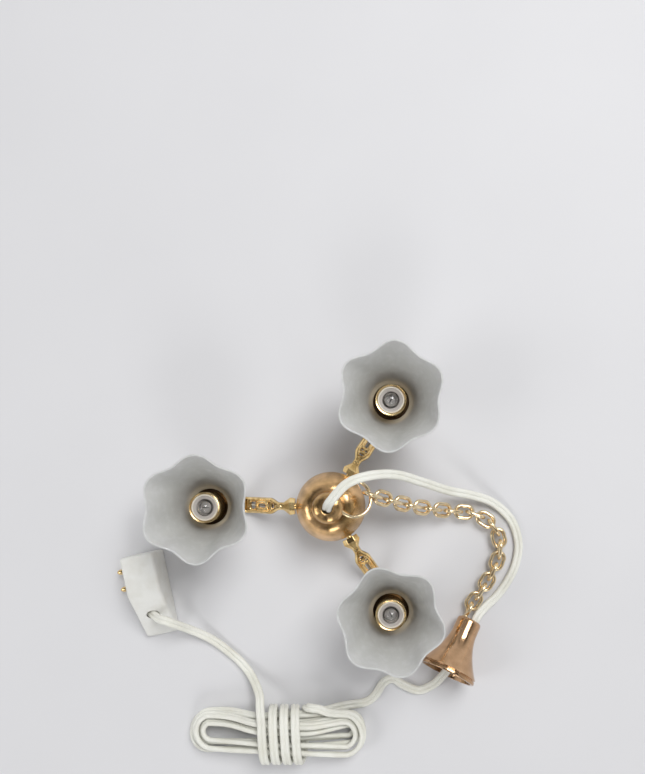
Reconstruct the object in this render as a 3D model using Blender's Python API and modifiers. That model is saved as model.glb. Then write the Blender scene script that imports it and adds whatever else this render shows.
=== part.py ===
"""Miniature chandelier for a dolls house: a turned hub and three cast arms with tulip shades. Its chain,
ceiling rose, flex and plug are laid out beside it on a table. Metres, +Z up. The hub's axis is Z, and the
flat foot of its finial is at the origin."""

import math

import bmesh
import bpy
import numpy as np
from mathutils import Matrix, Vector

MM = 0.001

# Clearances between pieces, and between the table and what lies on it
GAP = 0.3 * MM
TABLE_GAP = 0.05 * MM

# Flex: one round solid of the same section as the flat twin flex
FLEX_RADIUS = 0.6 * MM
FLEX_BORE = 0.9 * MM

# Hub: finial, bowl, dome and boss are stacked upwards on a hollow stem
HUB_RADIUS = 6.1 * MM
HUB_WALL = 0.6 * MM
FINIAL_HEIGHT = 3.2 * MM
FINIAL_RADIUS = 2.2 * MM
FOOT_RADIUS = 1.3 * MM
BOWL_HEIGHT = 3.8 * MM
DOME_HEIGHT = 4.7 * MM
DOME_TOP_RADIUS = 2.9 * MM
DOME_FALL = 1.7
BOSS_RADIUS = 2.7 * MM
BOSS_HEIGHT = 2.1 * MM
STEM_RADIUS = 1.4 * MM
STEM_SEAT = 1.4 * MM
SPLICE_WALL = 0.7 * MM
SPLICE_HEIGHT = 1.2 * MM

# Hanging ring: runs through the boss and lies over the dome
RING_RADIUS = 3.1 * MM
RING_WIRE = 0.3 * MM
RING_HOLE_WALL = 0.25 * MM
RING_SLOPE = math.radians(24)
RING_HEADING = math.radians(20)

# Arms
ARM_COUNT = 3
ARM_AZIMUTH = math.radians(60)
ARM_REACH = 21.2 * MM
ARM_LOW_SHARE = 0.68
LUG_LENGTH = 2.1 * MM
LUG_WIDTH = 2.5 * MM
LUG_HEIGHT = 2.2 * MM
LUG_FACET = 0.55 * MM
TENON_RADIUS = 0.55 * MM
TENON_LENGTH = 1.1 * MM
RAIL_RADIUS = 0.38 * MM
RAIL_SPREAD = 1.15 * MM
NECK_SPREAD = 0.3 * MM
BAR_RADIUS = 0.26 * MM
BAR_LIFT = 0.46 * MM
BAR_SHARES = (0.16, 0.3, 0.44, 0.56, 0.68)
PAD_RADIUS = 1.6 * MM
PAD_HEIGHT = 1.1 * MM
PAD_BOTTOM = 4.3 * MM

# Lamp fittings on each arm
CUP_RADIUS = 3.9 * MM
CUP_FLANGE = 0.5 * MM
CUP_NECK = 0.8 * MM
SOCKET_RADIUS = 2.6 * MM
SOCKET_WALL = 0.25 * MM
SOCKET_HEIGHT = 4.3 * MM
HOLDER_BORE = 1.55 * MM
HOLDER_FLOOR = 1.4 * MM
BULB_RADIUS = 1.25 * MM
BULB_HEIGHT = 3.4 * MM
LEAD_RADIUS = 0.2 * MM
LEAD_HOLE = 0.5 * MM
LEAD_MEETS = 0.9
LEAD_LEAVES = 0.24
LEAD_STEP = 1.3 * MM

# Shades
SHADE_HEIGHT = 10.2 * MM
SHADE_BASE = 3.9 * MM
SHADE_RIM = 8.4 * MM
SHADE_LOBE = 0.7 * MM
SHADE_BULGE = 0.9 * MM
SHADE_LOBES = 6
SHADE_TURNS = (math.radians(26), math.radians(31), math.radians(-13))
SHADE_WALL = 0.75 * MM
SHADE_HOLE = 3.15 * MM
SHADE_ROWS = 5
SHADE_COLUMNS = 36

# Chain: its links lie flat and on edge by turns
LINK_WIRE = 0.35 * MM
LINK_PITCH = 2.15 * MM
LINK_OPENING = 1.5 * MM
LINK_SLACK = 0.4 * MM
LINK_COUNT = 20

# Ceiling rose, lying on the rim of its mouth
ROSE_RADIUS = 5.2 * MM
ROSE_HEIGHT = 10.5 * MM
ROSE_NOSE = 2.25 * MM
ROSE_NOSE_HEIGHT = 2.3 * MM
ROSE_LIP = 0.9 * MM
ROSE_WALL = 0.6 * MM
ROSE_HEADING = math.radians(63)
EYE_RADIUS = 1.15 * MM
EYE_WIRE = 0.35 * MM
EYE_OFFSET = 1.0 * MM
EYE_SHANK = 1.3 * MM
ROSE_BORE_OFFSET = 1.0 * MM

# Hank of flex: loops in two layers, drawn in at a waist that the flex then binds
HANK_CENTRE = (-10.2 * MM, -41.5 * MM)
HANK_LENGTH = 33.0 * MM
HANK_RADIUS = 0.4 * MM
HANK_FOLD = 4.0 * MM
HANK_DRAW = 0.6 * MM
HANK_STEP = 1.4 * MM
HANK_LAYER = 1.85 * MM
HANK_LIFT = 1.5
HANK_LOOPS = 4
HANK_CLIMB = 0.5
HANK_START = 0.155
HANK_BEND = 0.3
HANK_SKEW = math.radians(2)
HANK_SHORTEN = 0.04
LOOP_POINTS = 24
BIND_TURNS = 3.75
BIND_STEP = 2.0 * MM
BIND_START = 5.4 * MM
BIND_POINTS = 16
BIND_HALF_WIDTH = 4.8 * MM
BIND_HALF_HEIGHT = 3.0 * MM
FREE_STEP = 2.8 * MM

# Plug
PLUG_WIDTH = 6.0 * MM
PLUG_LENGTH = 15.4 * MM
PLUG_HEIGHT = 6.4 * MM
PLUG_SLOPE = 8.4 * MM
PLUG_TOE = 1.1 * MM
PLUG_EDGE = 0.5 * MM
PLUG_CENTRE = (-33.2 * MM, -16.3 * MM)
PLUG_HEADING = math.radians(-78)
PLUG_HOLE_DEPTH = 2.2 * MM
CABLE_LEAN = 0.8
PIN_RADIUS = 0.5 * MM
PIN_LENGTH = 2.6 * MM
PIN_SPACING = 3.2 * MM
PIN_SEAT = 1.5 * MM
PIN_HEIGHT = 1.7 * MM
PIN_FROM_END = 2.6 * MM

for old in list(bpy.data.objects):
    bpy.data.objects.remove(old)
parts = bpy.data.collections.new("miniature_chandelier")
helpers = bpy.data.collections.new("cutters")
bpy.context.scene.collection.children.link(parts)
bpy.context.scene.collection.children.link(helpers)


def finish(name, color, roughness, metallic):
    made = bpy.data.materials.new(name)
    made.use_nodes = True
    shader = made.node_tree.nodes["Principled BSDF"]
    shader.inputs["Base Color"].default_value = (*color, 1)
    shader.inputs["Roughness"].default_value = roughness
    shader.inputs["Metallic"].default_value = metallic
    return made


ROSE_GOLD = finish("rose_gold", (0.80, 0.52, 0.30), 0.18, 1)
GOLD = finish("gold", (0.83, 0.60, 0.26), 0.25, 1)
FROSTED = finish("frosted_glass", (0.80, 0.81, 0.79), 0.6, 0)
CLEAR = finish("bulb_glass", (0.86, 0.86, 0.86), 0.1, 0)
WHITE = finish("white_plastic", (0.86, 0.85, 0.80), 0.4, 0)
PVC = finish("flex_pvc", (0.84, 0.83, 0.76), 0.5, 0)


def place(name, data, surface, matrix=None):
    """A part: its own object and material."""
    made = bpy.data.objects.new(name, data)
    if not data.materials:
        data.materials.append(surface)
    parts.objects.link(made)
    if matrix is not None:
        made.matrix_world = matrix
    return made


def helper(name, data):
    """A cutter, or a piece that a Boolean joins to another."""
    made = bpy.data.objects.new(name, data)
    helpers.objects.link(made)
    made.hide_render = True
    made.display_type = "WIRE"
    return made


def boolean(target, other, operation):
    modifier = target.modifiers.new(other.name, "BOOLEAN")
    modifier.operation = operation
    modifier.object = other


def profile_mesh(name, profile):
    """A closed outline of (radius, height) points, running down its outer side."""
    mesh = bpy.data.meshes.new(name)
    points = [(r, 0, z) for r, z in profile]
    edges = [(i, (i + 1) % len(points)) for i in range(len(points))]
    if profile[0][0] == profile[-1][0] == 0:
        edges.pop()
    mesh.from_pydata(points, edges, [])
    return mesh


def turn(target, steps):
    screw = target.modifiers.new("turn", "SCREW")
    screw.steps = screw.render_steps = steps
    screw.use_merge_vertices = True
    screw.merge_threshold = 0.00001
    screw.use_smooth_shade = True
    return target


def turned(name, profile, surface, steps=24, matrix=None):
    return turn(place(name, profile_mesh(name, profile), surface, matrix), steps)


def wire(name, points, radius, resolution=1, cyclic=False):
    """A round wire through the points, with 4 + 2 * resolution sides."""
    curve = bpy.data.curves.new(name, "CURVE")
    curve.dimensions = "3D"
    curve.bevel_depth = radius
    curve.bevel_resolution = resolution
    curve.use_fill_caps = True
    spline = curve.splines.new("POLY")
    spline.points.add(len(points) - 1)
    for slot, point in zip(spline.points, points):
        slot.co = (*point, 1)
    spline.use_cyclic_u = cyclic
    spline.use_smooth = True
    return curve


def meshed(curve):
    """The curve's solid as a mesh with its caps welded, for a Boolean."""
    guide = bpy.data.objects.new("guide", curve)
    helpers.objects.link(guide)
    bpy.context.view_layer.update()
    mesh = bpy.data.meshes.new_from_object(guide.evaluated_get(bpy.context.evaluated_depsgraph_get()))
    bpy.data.objects.remove(guide)
    shape = bmesh.new()
    shape.from_mesh(mesh)
    bmesh.ops.remove_doubles(shape, verts=shape.verts, dist=0.000001)
    shape.to_mesh(mesh)
    shape.free()
    return mesh


def cylinder(name, start, end, radius, sides=16):
    """A straight round bar from start to end."""
    start, end = Vector(start), Vector(end)
    mesh = bpy.data.meshes.new(name)
    shape = bmesh.new()
    bmesh.ops.create_cone(
        shape, cap_ends=True, segments=sides, radius1=radius, radius2=radius, depth=(end - start).length
    )
    turn_to = (end - start).to_track_quat("Z", "Y").to_matrix().to_4x4()
    shape.transform(Matrix.Translation((start + end) / 2) @ turn_to)
    shape.to_mesh(mesh)
    shape.free()
    return mesh


def box(name, low, high, facet=0):
    """A block between two corners, with its edges cut back by facet."""
    low, high = Vector(low), Vector(high)
    mesh = bpy.data.meshes.new(name)
    shape = bmesh.new()
    bmesh.ops.create_cube(shape, size=1)
    size = high - low
    shape.transform(Matrix.Translation((low + high) / 2) @ Matrix.Diagonal((*size, 1)))
    if facet:
        bmesh.ops.bevel(shape, geom=shape.edges, offset=facet, segments=1, affect="EDGES")
    shape.to_mesh(mesh)
    shape.free()
    return mesh


def smooth_run(points, step):
    """Points about step apart on a smooth curve through the given points."""
    points = [Vector(p) for p in points]
    ends = [2 * points[0] - points[1], *points, 2 * points[-1] - points[-2]]
    dense = []
    for before, start, end, after in zip(ends, ends[1:], ends[2:], ends[3:]):
        for share in np.linspace(0, 1, 40, endpoint=False):
            dense.append(
                0.5
                * (
                    2 * start
                    + (end - before) * share
                    + (2 * before - 5 * start + 4 * end - after) * share**2
                    + (3 * start - before - 3 * end + after) * share**3
                )
            )
    dense = np.array([*dense, points[-1]])
    lengths = np.r_[0, np.cumsum(np.linalg.norm(np.diff(dense, axis=0), axis=1))]
    marks = np.linspace(0, lengths[-1], max(2, round(lengths[-1] / step) + 1))
    return np.stack([np.interp(marks, lengths, dense[:, axis]) for axis in range(3)], axis=1)


def ease(share):
    share = min(1.0, max(0.0, share))
    return share * share * (3 - 2 * share)


# Hub: the bowl and dome are shells, clamped between finial and boss by the stem
bowl_bottom = FINIAL_HEIGHT + GAP
rim_height = bowl_bottom + BOWL_HEIGHT
dome_bottom = rim_height + GAP
dome_top = dome_bottom + DOME_HEIGHT
boss_bottom = dome_top + GAP
boss_top = boss_bottom + BOSS_HEIGHT
stem_clear = STEM_RADIUS + GAP


def quarter(radius_from, radius_to, z_from, z_to, count=6):
    """An elliptical quarter from a narrow height down to a full radius."""
    widen, drop = radius_to - radius_from, z_from - z_to
    angles = np.linspace(0, math.pi / 2, count)
    return [(radius_from + widen * math.sin(a), z_to + drop * math.cos(a)) for a in angles]



def dome_side(shrink):
    """The dome's side: it falls gently from its flat top and more steeply towards the rim."""
    shares = np.linspace(0, 1, 7)
    reach, drop = HUB_RADIUS - DOME_TOP_RADIUS, DOME_HEIGHT - shrink
    return [(DOME_TOP_RADIUS - shrink + reach * s, dome_bottom + drop * (1 - s**DOME_FALL)) for s in shares]


dome_outer = dome_side(0)
dome_inner = dome_side(HUB_WALL)
turned(
    "hub_dome",
    [(stem_clear, dome_top)] + dome_outer + dome_inner[::-1] + [(stem_clear, dome_top - HUB_WALL)],
    ROSE_GOLD,
    28,
)


def bowl_quarter(shrink, floor):
    """The bowl's side from its rim down to its flat bottom."""
    side = quarter(FINIAL_RADIUS, HUB_RADIUS - shrink, floor, rim_height)
    return side[::-1]


bowl = turned(
    "hub_bowl",
    bowl_quarter(0, bowl_bottom)
    + [(stem_clear, bowl_bottom), (stem_clear, bowl_bottom + HUB_WALL)]
    + bowl_quarter(HUB_WALL, bowl_bottom + HUB_WALL)[::-1],
    ROSE_GOLD,
    28,
)

turned(
    "hub_finial",
    [
        (0, FINIAL_HEIGHT - STEM_SEAT),
        (stem_clear, FINIAL_HEIGHT - STEM_SEAT),
        (stem_clear, FINIAL_HEIGHT),
        (FINIAL_RADIUS, FINIAL_HEIGHT),
        (FINIAL_RADIUS, FINIAL_HEIGHT * 0.62),
        (FOOT_RADIUS * 0.9, FINIAL_HEIGHT * 0.5),
        (FOOT_RADIUS * 1.25, FINIAL_HEIGHT * 0.25),
        (FOOT_RADIUS, 0),
        (0, 0),
    ],
    GOLD,
)

stem_bottom = FINIAL_HEIGHT - STEM_SEAT + GAP
turned(
    "centre_stem",
    [(STEM_RADIUS, dome_top), (STEM_RADIUS, stem_bottom), (FLEX_BORE, stem_bottom), (FLEX_BORE, dome_top)],
    GOLD,
    16,
)
splice_bottom = bowl_bottom + HUB_WALL + GAP
turned(
    "wire_splice",
    [
        (stem_clear + SPLICE_WALL, splice_bottom + SPLICE_HEIGHT),
        (stem_clear + SPLICE_WALL, splice_bottom),
        (stem_clear, splice_bottom),
        (stem_clear, splice_bottom + SPLICE_HEIGHT),
    ],
    WHITE,
    16,
)

# The ring slopes down over the dome from a curved hole beside the boss's bore
ring_hole = FLEX_BORE + RING_HOLE_WALL + RING_WIRE + GAP
ring_turn = Matrix.Rotation(RING_HEADING, 4, "Z")
ring_pivot = ring_turn @ Vector((ring_hole, 0, boss_bottom + BOSS_HEIGHT * 0.45))
ring_matrix = Matrix.Translation(ring_pivot) @ ring_turn @ Matrix.Rotation(RING_SLOPE, 4, "Y")


def ring_points(count):
    angles = np.linspace(0, 2 * math.pi, count, endpoint=False)
    return [(RING_RADIUS * (1 - math.cos(a)), RING_RADIUS * math.sin(a), 0) for a in angles]


boss = turned(
    "loop_boss",
    [
        (FLEX_BORE, boss_top),
        (BOSS_RADIUS * 0.62, boss_top),
        (BOSS_RADIUS * 0.9, boss_bottom + BOSS_HEIGHT * 0.78),
        (BOSS_RADIUS, boss_bottom + BOSS_HEIGHT * 0.5),
        (BOSS_RADIUS, boss_bottom),
        (FLEX_BORE, boss_bottom),
    ],
    ROSE_GOLD,
)
ring_space = wire("ring_space", ring_points(28), RING_WIRE + GAP, 2, cyclic=True)
ring_cutter = helper("ring_cutter", meshed(ring_space))
ring_cutter.matrix_world = ring_matrix
boolean(boss, ring_cutter, "DIFFERENCE")
place("hanging_ring", wire("hanging_ring", ring_points(28), RING_WIRE, 1, cyclic=True), GOLD, ring_matrix)

# Arms: two cast rails with bars between them, from a lug at the bowl to a pad under the cup
lug_height = bowl_bottom + BOWL_HEIGHT * 0.72
lug_start = HUB_RADIUS + GAP
neck = lug_start + LUG_LENGTH
low_height = RAIL_RADIUS + TABLE_GAP
pad_height = PAD_BOTTOM + PAD_HEIGHT / 2


def arm_height(share):
    """The rails' height: down from the lug to the table, then up to the pad."""
    if share < ARM_LOW_SHARE:
        return lug_height + (low_height - lug_height) * ease(share / ARM_LOW_SHARE)
    return low_height + (pad_height - low_height) * ((share - ARM_LOW_SHARE) / (1 - ARM_LOW_SHARE)) ** 2


def arm_point(share, spread=0.0, lift=0.0):
    radius = neck - LUG_FACET + (ARM_REACH - neck + LUG_FACET) * share
    return Vector((radius, spread, arm_height(share) + lift))


def rail_spread(share):
    opened = NECK_SPREAD + (RAIL_SPREAD - NECK_SPREAD) * ease(share / 0.2)
    return opened - (RAIL_SPREAD - PAD_RADIUS * 0.6) * ease((share - 0.8) / 0.2)


def rail(side):
    return [arm_point(share, side * rail_spread(share)) for share in np.linspace(0, 1, 14)]


arm_body = helper("arm_body", meshed(wire("left_rail", rail(1), RAIL_RADIUS)))
joined = [
    meshed(wire("right_rail", rail(-1), RAIL_RADIUS)),
    box(
        "lug",
        (lug_start, -LUG_WIDTH / 2, lug_height - LUG_HEIGHT / 2),
        (neck, LUG_WIDTH / 2, lug_height + LUG_HEIGHT / 2),
        LUG_FACET,
    ),
    cylinder(
        "tenon",
        (lug_start - TENON_LENGTH, 0, lug_height),
        (lug_start + LUG_FACET * 2, 0, lug_height),
        TENON_RADIUS,
        12,
    ),
    cylinder("pad", (ARM_REACH, 0, PAD_BOTTOM), (ARM_REACH, 0, PAD_BOTTOM + PAD_HEIGHT), PAD_RADIUS),
]
for share in BAR_SHARES:
    reach = rail_spread(share)
    joined.append(
        cylinder(
            "bar", arm_point(share, -reach, BAR_LIFT), arm_point(share, reach, BAR_LIFT), BAR_RADIUS, 8
        )
    )
for number, mesh in enumerate(joined):
    boolean(arm_body, helper(f"arm_piece_{number}", mesh), "UNION")
pad_hole = helper(
    "pad_hole",
    cylinder(
        "pad_hole",
        (ARM_REACH, 0, PAD_BOTTOM - GAP),
        (ARM_REACH, 0, PAD_BOTTOM + PAD_HEIGHT + GAP),
        LEAD_HOLE,
        12,
    ),
)
boolean(arm_body, pad_hole, "DIFFERENCE")
bpy.context.view_layer.update()
arm_mesh = bpy.data.meshes.new_from_object(arm_body.evaluated_get(bpy.context.evaluated_depsgraph_get()))

# Each lamp: a cup on the pad carries the socket tube, with the shade round it
cup_bottom = PAD_BOTTOM + PAD_HEIGHT + GAP
cup_top = cup_bottom + CUP_NECK + CUP_FLANGE
seat = cup_top + GAP
holder_radius = SOCKET_RADIUS - SOCKET_WALL - GAP
holder_top = seat + SOCKET_HEIGHT - GAP
bulb_bottom = seat + HOLDER_FLOOR + GAP


def shade_mesh():
    """An open lobed surface of revolution, thickened inwards, with its floor holed for the socket."""
    mesh = bpy.data.meshes.new("shade")
    shape = bmesh.new()
    rings = []
    for share in np.linspace(0, 1, SHADE_ROWS):
        bulge = SHADE_BULGE * math.sin(math.pi * share)
        radius = SHADE_BASE + (SHADE_RIM - SHADE_BASE) * share**1.15 + bulge
        lobe = SHADE_LOBE * ease(share * 1.2 - 0.2)
        height = seat + SHADE_HEIGHT * share
        ring = []
        for angle in np.linspace(0, 2 * math.pi, SHADE_COLUMNS, endpoint=False):
            reach = radius + lobe * math.cos(SHADE_LOBES * angle)
            ring.append(shape.verts.new((reach * math.cos(angle), reach * math.sin(angle), height)))
        rings.append(ring)
    floor = [
        shape.verts.new((SHADE_HOLE * math.cos(angle), SHADE_HOLE * math.sin(angle), seat))
        for angle in np.linspace(0, 2 * math.pi, SHADE_COLUMNS, endpoint=False)
    ]
    rings.insert(0, floor)
    for below, above in zip(rings, rings[1:]):
        for side in range(SHADE_COLUMNS):
            after = (side + 1) % SHADE_COLUMNS
            shape.faces.new((below[side], below[after], above[after], above[side]))
    bmesh.ops.recalc_face_normals(shape, faces=shape.faces)
    shape.to_mesh(mesh)
    shape.free()
    mesh.shade_smooth()
    return mesh


shade = shade_mesh()
cup = profile_mesh(
    "cup",
    [
        (LEAD_HOLE, cup_top),
        (CUP_RADIUS, cup_top),
        (CUP_RADIUS, cup_top - CUP_FLANGE),
        (PAD_RADIUS, cup_bottom),
        (LEAD_HOLE, cup_bottom),
    ],
)
socket_tube = profile_mesh(
    "socket_tube",
    [
        (SOCKET_RADIUS, seat + SOCKET_HEIGHT),
        (SOCKET_RADIUS, seat),
        (SOCKET_RADIUS - SOCKET_WALL, seat),
        (SOCKET_RADIUS - SOCKET_WALL, seat + SOCKET_HEIGHT),
    ],
)
lamp_holder = profile_mesh(
    "lamp_holder",
    [
        (0, seat + HOLDER_FLOOR),
        (HOLDER_BORE, seat + HOLDER_FLOOR),
        (HOLDER_BORE, holder_top),
        (holder_radius, holder_top),
        (holder_radius, seat),
        (0, seat),
    ],
)
bulb_shoulder = bulb_bottom + BULB_HEIGHT - BULB_RADIUS
bulb_tip = quarter(0, BULB_RADIUS, bulb_bottom + BULB_HEIGHT, bulb_shoulder, 5)
bulb = profile_mesh("bulb", bulb_tip + [(BULB_RADIUS, bulb_bottom), (0, bulb_bottom)])

# The lead drops from the holder, follows the arm between its rails and enters the bowl under the lug
lead_height = bowl_bottom + BOWL_HEIGHT * 0.32
lead_points = [(ARM_REACH, 0, seat - GAP), (ARM_REACH, 0, PAD_BOTTOM)]
for share in np.linspace(LEAD_MEETS, LEAD_LEAVES, 8):
    drop = RAIL_RADIUS * (0.55 + 1.45 * ease((0.45 - share) / 0.2))
    lead_points.append(arm_point(share, 0, -drop))
lead_points += [
    (neck, 0, lug_height - LUG_HEIGHT / 2 - LEAD_RADIUS - GAP),
    (lug_start, 0, lead_height),
    (stem_clear + SPLICE_WALL + GAP, 0, lead_height),
]
lead = wire("bulb_lead", smooth_run(lead_points, LEAD_STEP), LEAD_RADIUS)

for number in range(ARM_COUNT):
    azimuth = ARM_AZIMUTH + number * 2 * math.pi / ARM_COUNT
    hub_turn = Matrix.Rotation(azimuth, 4, "Z")
    lamp = hub_turn @ Matrix.Translation((ARM_REACH, 0, 0))
    tag = number + 1
    place(f"arm_{tag}", arm_mesh, GOLD, hub_turn)
    turn(place(f"cup_{tag}", cup, GOLD, lamp), 24)
    turn(place(f"socket_tube_{tag}", socket_tube, GOLD, lamp), 20)
    turn(place(f"lamp_holder_{tag}", lamp_holder, WHITE, lamp), 20)
    turn(place(f"bulb_{tag}", bulb, CLEAR, lamp), 16)
    glass = place(f"shade_{tag}", shade, FROSTED, lamp @ Matrix.Rotation(SHADE_TURNS[number], 4, "Z"))
    thick = glass.modifiers.new("wall", "SOLIDIFY")
    thick.thickness = SHADE_WALL
    thick.offset = -1
    place(f"bulb_lead_{tag}", lead, PVC, hub_turn)
    for height, radius in ((lug_height, TENON_RADIUS + GAP), (lead_height, LEAD_RADIUS + GAP)):
        hole = helper(
            f"bowl_hole_{tag}",
            cylinder("bowl_hole", (STEM_RADIUS * 2, 0, height), (HUB_RADIUS + GAP, 0, height), radius, 12),
        )
        hole.matrix_world = hub_turn
        boolean(bowl, hole, "DIFFERENCE")

# Chain: links of equal pitch along a run from the ring down to the table and round to the rose
link_half = (LINK_WIRE * 2 + LINK_SLACK) / 2
first_pin = ring_matrix @ Vector((2 * RING_RADIUS - RING_WIRE - GAP / 2, 0, GAP * 0.3))
lie = LINK_OPENING / 2 + 2 * LINK_WIRE + TABLE_GAP
chain_run = smooth_run(
    [
        first_pin,
        (12.2 * MM, 0.6 * MM, 7.6 * MM),
        (17.2 * MM, -0.5 * MM, 4.2 * MM),
        (22.1 * MM, -1.1 * MM, 2.0 * MM),
        (25.9 * MM, -1.6 * MM, lie),
        (29.4 * MM, -3.8 * MM, lie),
        (30.7 * MM, -7.8 * MM, lie),
        (29.4 * MM, -12.0 * MM, lie),
        (26.6 * MM, -16.6 * MM, lie),
        (23.0 * MM, -21.8 * MM, lie),
        (20.6 * MM, -28.1 * MM, lie),
    ],
    0.05 * MM,
)


def pitch_points(run, pitch, count):
    """Points on the run that are exactly one pitch from each other in a straight line."""
    found = [Vector(run[0])]
    for point in run:
        if len(found) <= count and (Vector(point) - found[-1]).length >= pitch:
            found.append(found[-1] + (Vector(point) - found[-1]).normalized() * pitch)
    return found


pins = pitch_points(chain_run, LINK_PITCH, LINK_COUNT)


def link_points():
    """A link from its first pin to the next: two straight sides with round ends."""
    bend = LINK_OPENING / 2 + LINK_WIRE
    near = -link_half + bend
    far = LINK_PITCH + link_half - bend
    points = []
    for angle in np.linspace(-math.pi / 2, math.pi / 2, 6):
        points.append((far + bend * math.cos(angle), bend * math.sin(angle), 0))
    for angle in np.linspace(math.pi / 2, 3 * math.pi / 2, 6):
        points.append((near + bend * math.cos(angle), bend * math.sin(angle), 0))
    return points


link = wire("chain_link", link_points(), LINK_WIRE, 1, cyclic=True)
for number, (start, end) in enumerate(zip(pins, pins[1:])):
    along = (end - start).normalized()
    side = Vector((0, 0, 1)).cross(along).normalized()
    if number % 2 == 0:
        side = along.cross(side)
    axes = Matrix((along, side, along.cross(side))).transposed().to_4x4()
    place(f"chain_link_{number + 1:02d}", link, GOLD, Matrix.Translation(start) @ axes)

# Ceiling rose: local +Z runs from its mouth to the chain, local +Y is up, and the last pin is its origin
rose_pin = pins[-1]
eye_centre = link_half - EYE_RADIUS
nose_top = eye_centre - EYE_RADIUS - EYE_WIRE - GAP
mouth = nose_top - ROSE_HEIGHT
flare_top = nose_top - ROSE_NOSE_HEIGHT
lip_top = mouth + ROSE_LIP
sink = math.asin((TABLE_GAP - rose_pin.z) / math.hypot(ROSE_RADIUS, lip_top))
lean = math.atan2(ROSE_RADIUS, -lip_top) + sink
rose_axis = Vector(
    (math.cos(ROSE_HEADING) * math.cos(lean), math.sin(ROSE_HEADING) * math.cos(lean), -math.sin(lean))
)
rose_left = Vector((-math.sin(ROSE_HEADING), math.cos(ROSE_HEADING), 0))
rose_up = rose_axis.cross(rose_left)
rose_matrix = Matrix.Translation(rose_pin) @ Matrix((rose_left, rose_up, rose_axis)).transposed().to_4x4()
body_matrix = rose_matrix @ Matrix.Translation((-EYE_OFFSET, 0, 0))


def flare(shrink, bottom, count=5):
    """The bell's side: hollowed outwards from the nose to the lip."""
    points = []
    for share in np.linspace(0, 1, count):
        radius = ROSE_NOSE + (ROSE_RADIUS - ROSE_NOSE) * share**1.8
        points.append((radius - shrink, flare_top + (bottom - flare_top) * share))
    return points


rose = turned(
    "ceiling_rose",
    [(0, nose_top), (ROSE_NOSE * 0.85, nose_top), (ROSE_NOSE, nose_top - ROSE_NOSE * 0.2)]
    + flare(0, lip_top)
    + [(ROSE_RADIUS, mouth), (ROSE_RADIUS - ROSE_WALL, mouth)]
    + flare(ROSE_WALL, lip_top)[::-1]
    + [(0, flare_top)],
    ROSE_GOLD,
    28,
    body_matrix,
)
bore_x = -ROSE_BORE_OFFSET
for name, x, low, radius in (
    ("rose_bore", bore_x, flare_top - ROSE_WALL, FLEX_BORE),
    ("eye_hole", EYE_OFFSET, nose_top - EYE_SHANK - GAP, EYE_WIRE + GAP / 2),
):
    hole = helper(name, cylinder(name, (x, 0, low), (x, 0, nose_top + GAP), radius))
    hole.matrix_world = body_matrix
    boolean(rose, hole, "DIFFERENCE")

eye_angles = np.linspace(0, 2 * math.pi, 16, endpoint=False)
eye = place(
    "rose_eye",
    meshed(
        wire(
            "rose_eye",
            [(0, EYE_RADIUS * math.sin(a), eye_centre + EYE_RADIUS * math.cos(a)) for a in eye_angles],
            EYE_WIRE,
            1,
            cyclic=True,
        )
    ),
    GOLD,
    rose_matrix,
)
shank_top = (0, 0, eye_centre - EYE_RADIUS)
shank = helper("eye_shank", cylinder("eye_shank", (0, 0, nose_top - EYE_SHANK), shank_top, EYE_WIRE, 8))
shank.matrix_world = rose_matrix
boolean(eye, shank, "UNION")


table = FLEX_RADIUS + TABLE_GAP


def in_rose(x, y, z):
    """A point in the rose's own frame, lifted where the flex would sink into the table."""
    point = body_matrix @ Vector((x * MM, y * MM, z))
    return Vector((point.x, point.y, max(point.z, table)))


def flex(name, points):
    """A stretch of free flex through the points, nowhere lower than the table lets it lie."""
    run = smooth_run(points, FREE_STEP)
    run[:, 2] = np.maximum(run[:, 2], table)
    return place(name, wire(name, run, FLEX_RADIUS, 2), PVC)


# Flex from the stem, out of the boss and beside the chain into the rose
lead_in = [
    (0, 0, stem_bottom + GAP),
    (0, 0, dome_bottom),
    (0, 0, boss_bottom),
    (0, 0, boss_top + 0.6 * MM),
    (0.8 * MM, 1.3 * MM, boss_top + 2.5 * MM),
    (3.6 * MM, 4.2 * MM, boss_top + 3.3 * MM),
    (7.4 * MM, 5.5 * MM, boss_top + 1.9 * MM),
    (11.6 * MM, 5.6 * MM, 13.6 * MM),
    (16.1 * MM, 4.3 * MM, 9.7 * MM),
    (20.7 * MM, 2.8 * MM, 6.1 * MM),
    (25.5 * MM, 1.8 * MM, 3.0 * MM),
    (29.6 * MM, 0.3 * MM, 1.1 * MM),
    (32.9 * MM, -2.9 * MM, table),
    (34.2 * MM, -7.2 * MM, table),
    (33.6 * MM, -11.2 * MM, table),
    (32.1 * MM, -14.3 * MM, table),
]
bore = bore_x / MM
flex_in = lead_in + [
    in_rose(bore - 1.7, -0.4, nose_top + 6.4 * MM),
    in_rose(bore - 0.6, -0.1, nose_top + 3.3 * MM),
    in_rose(bore, 0, nose_top + 1.0 * MM),
    in_rose(bore, 0, flare_top - 0.6 * MM),
]
flex("flex_hub_to_rose", flex_in)


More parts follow.
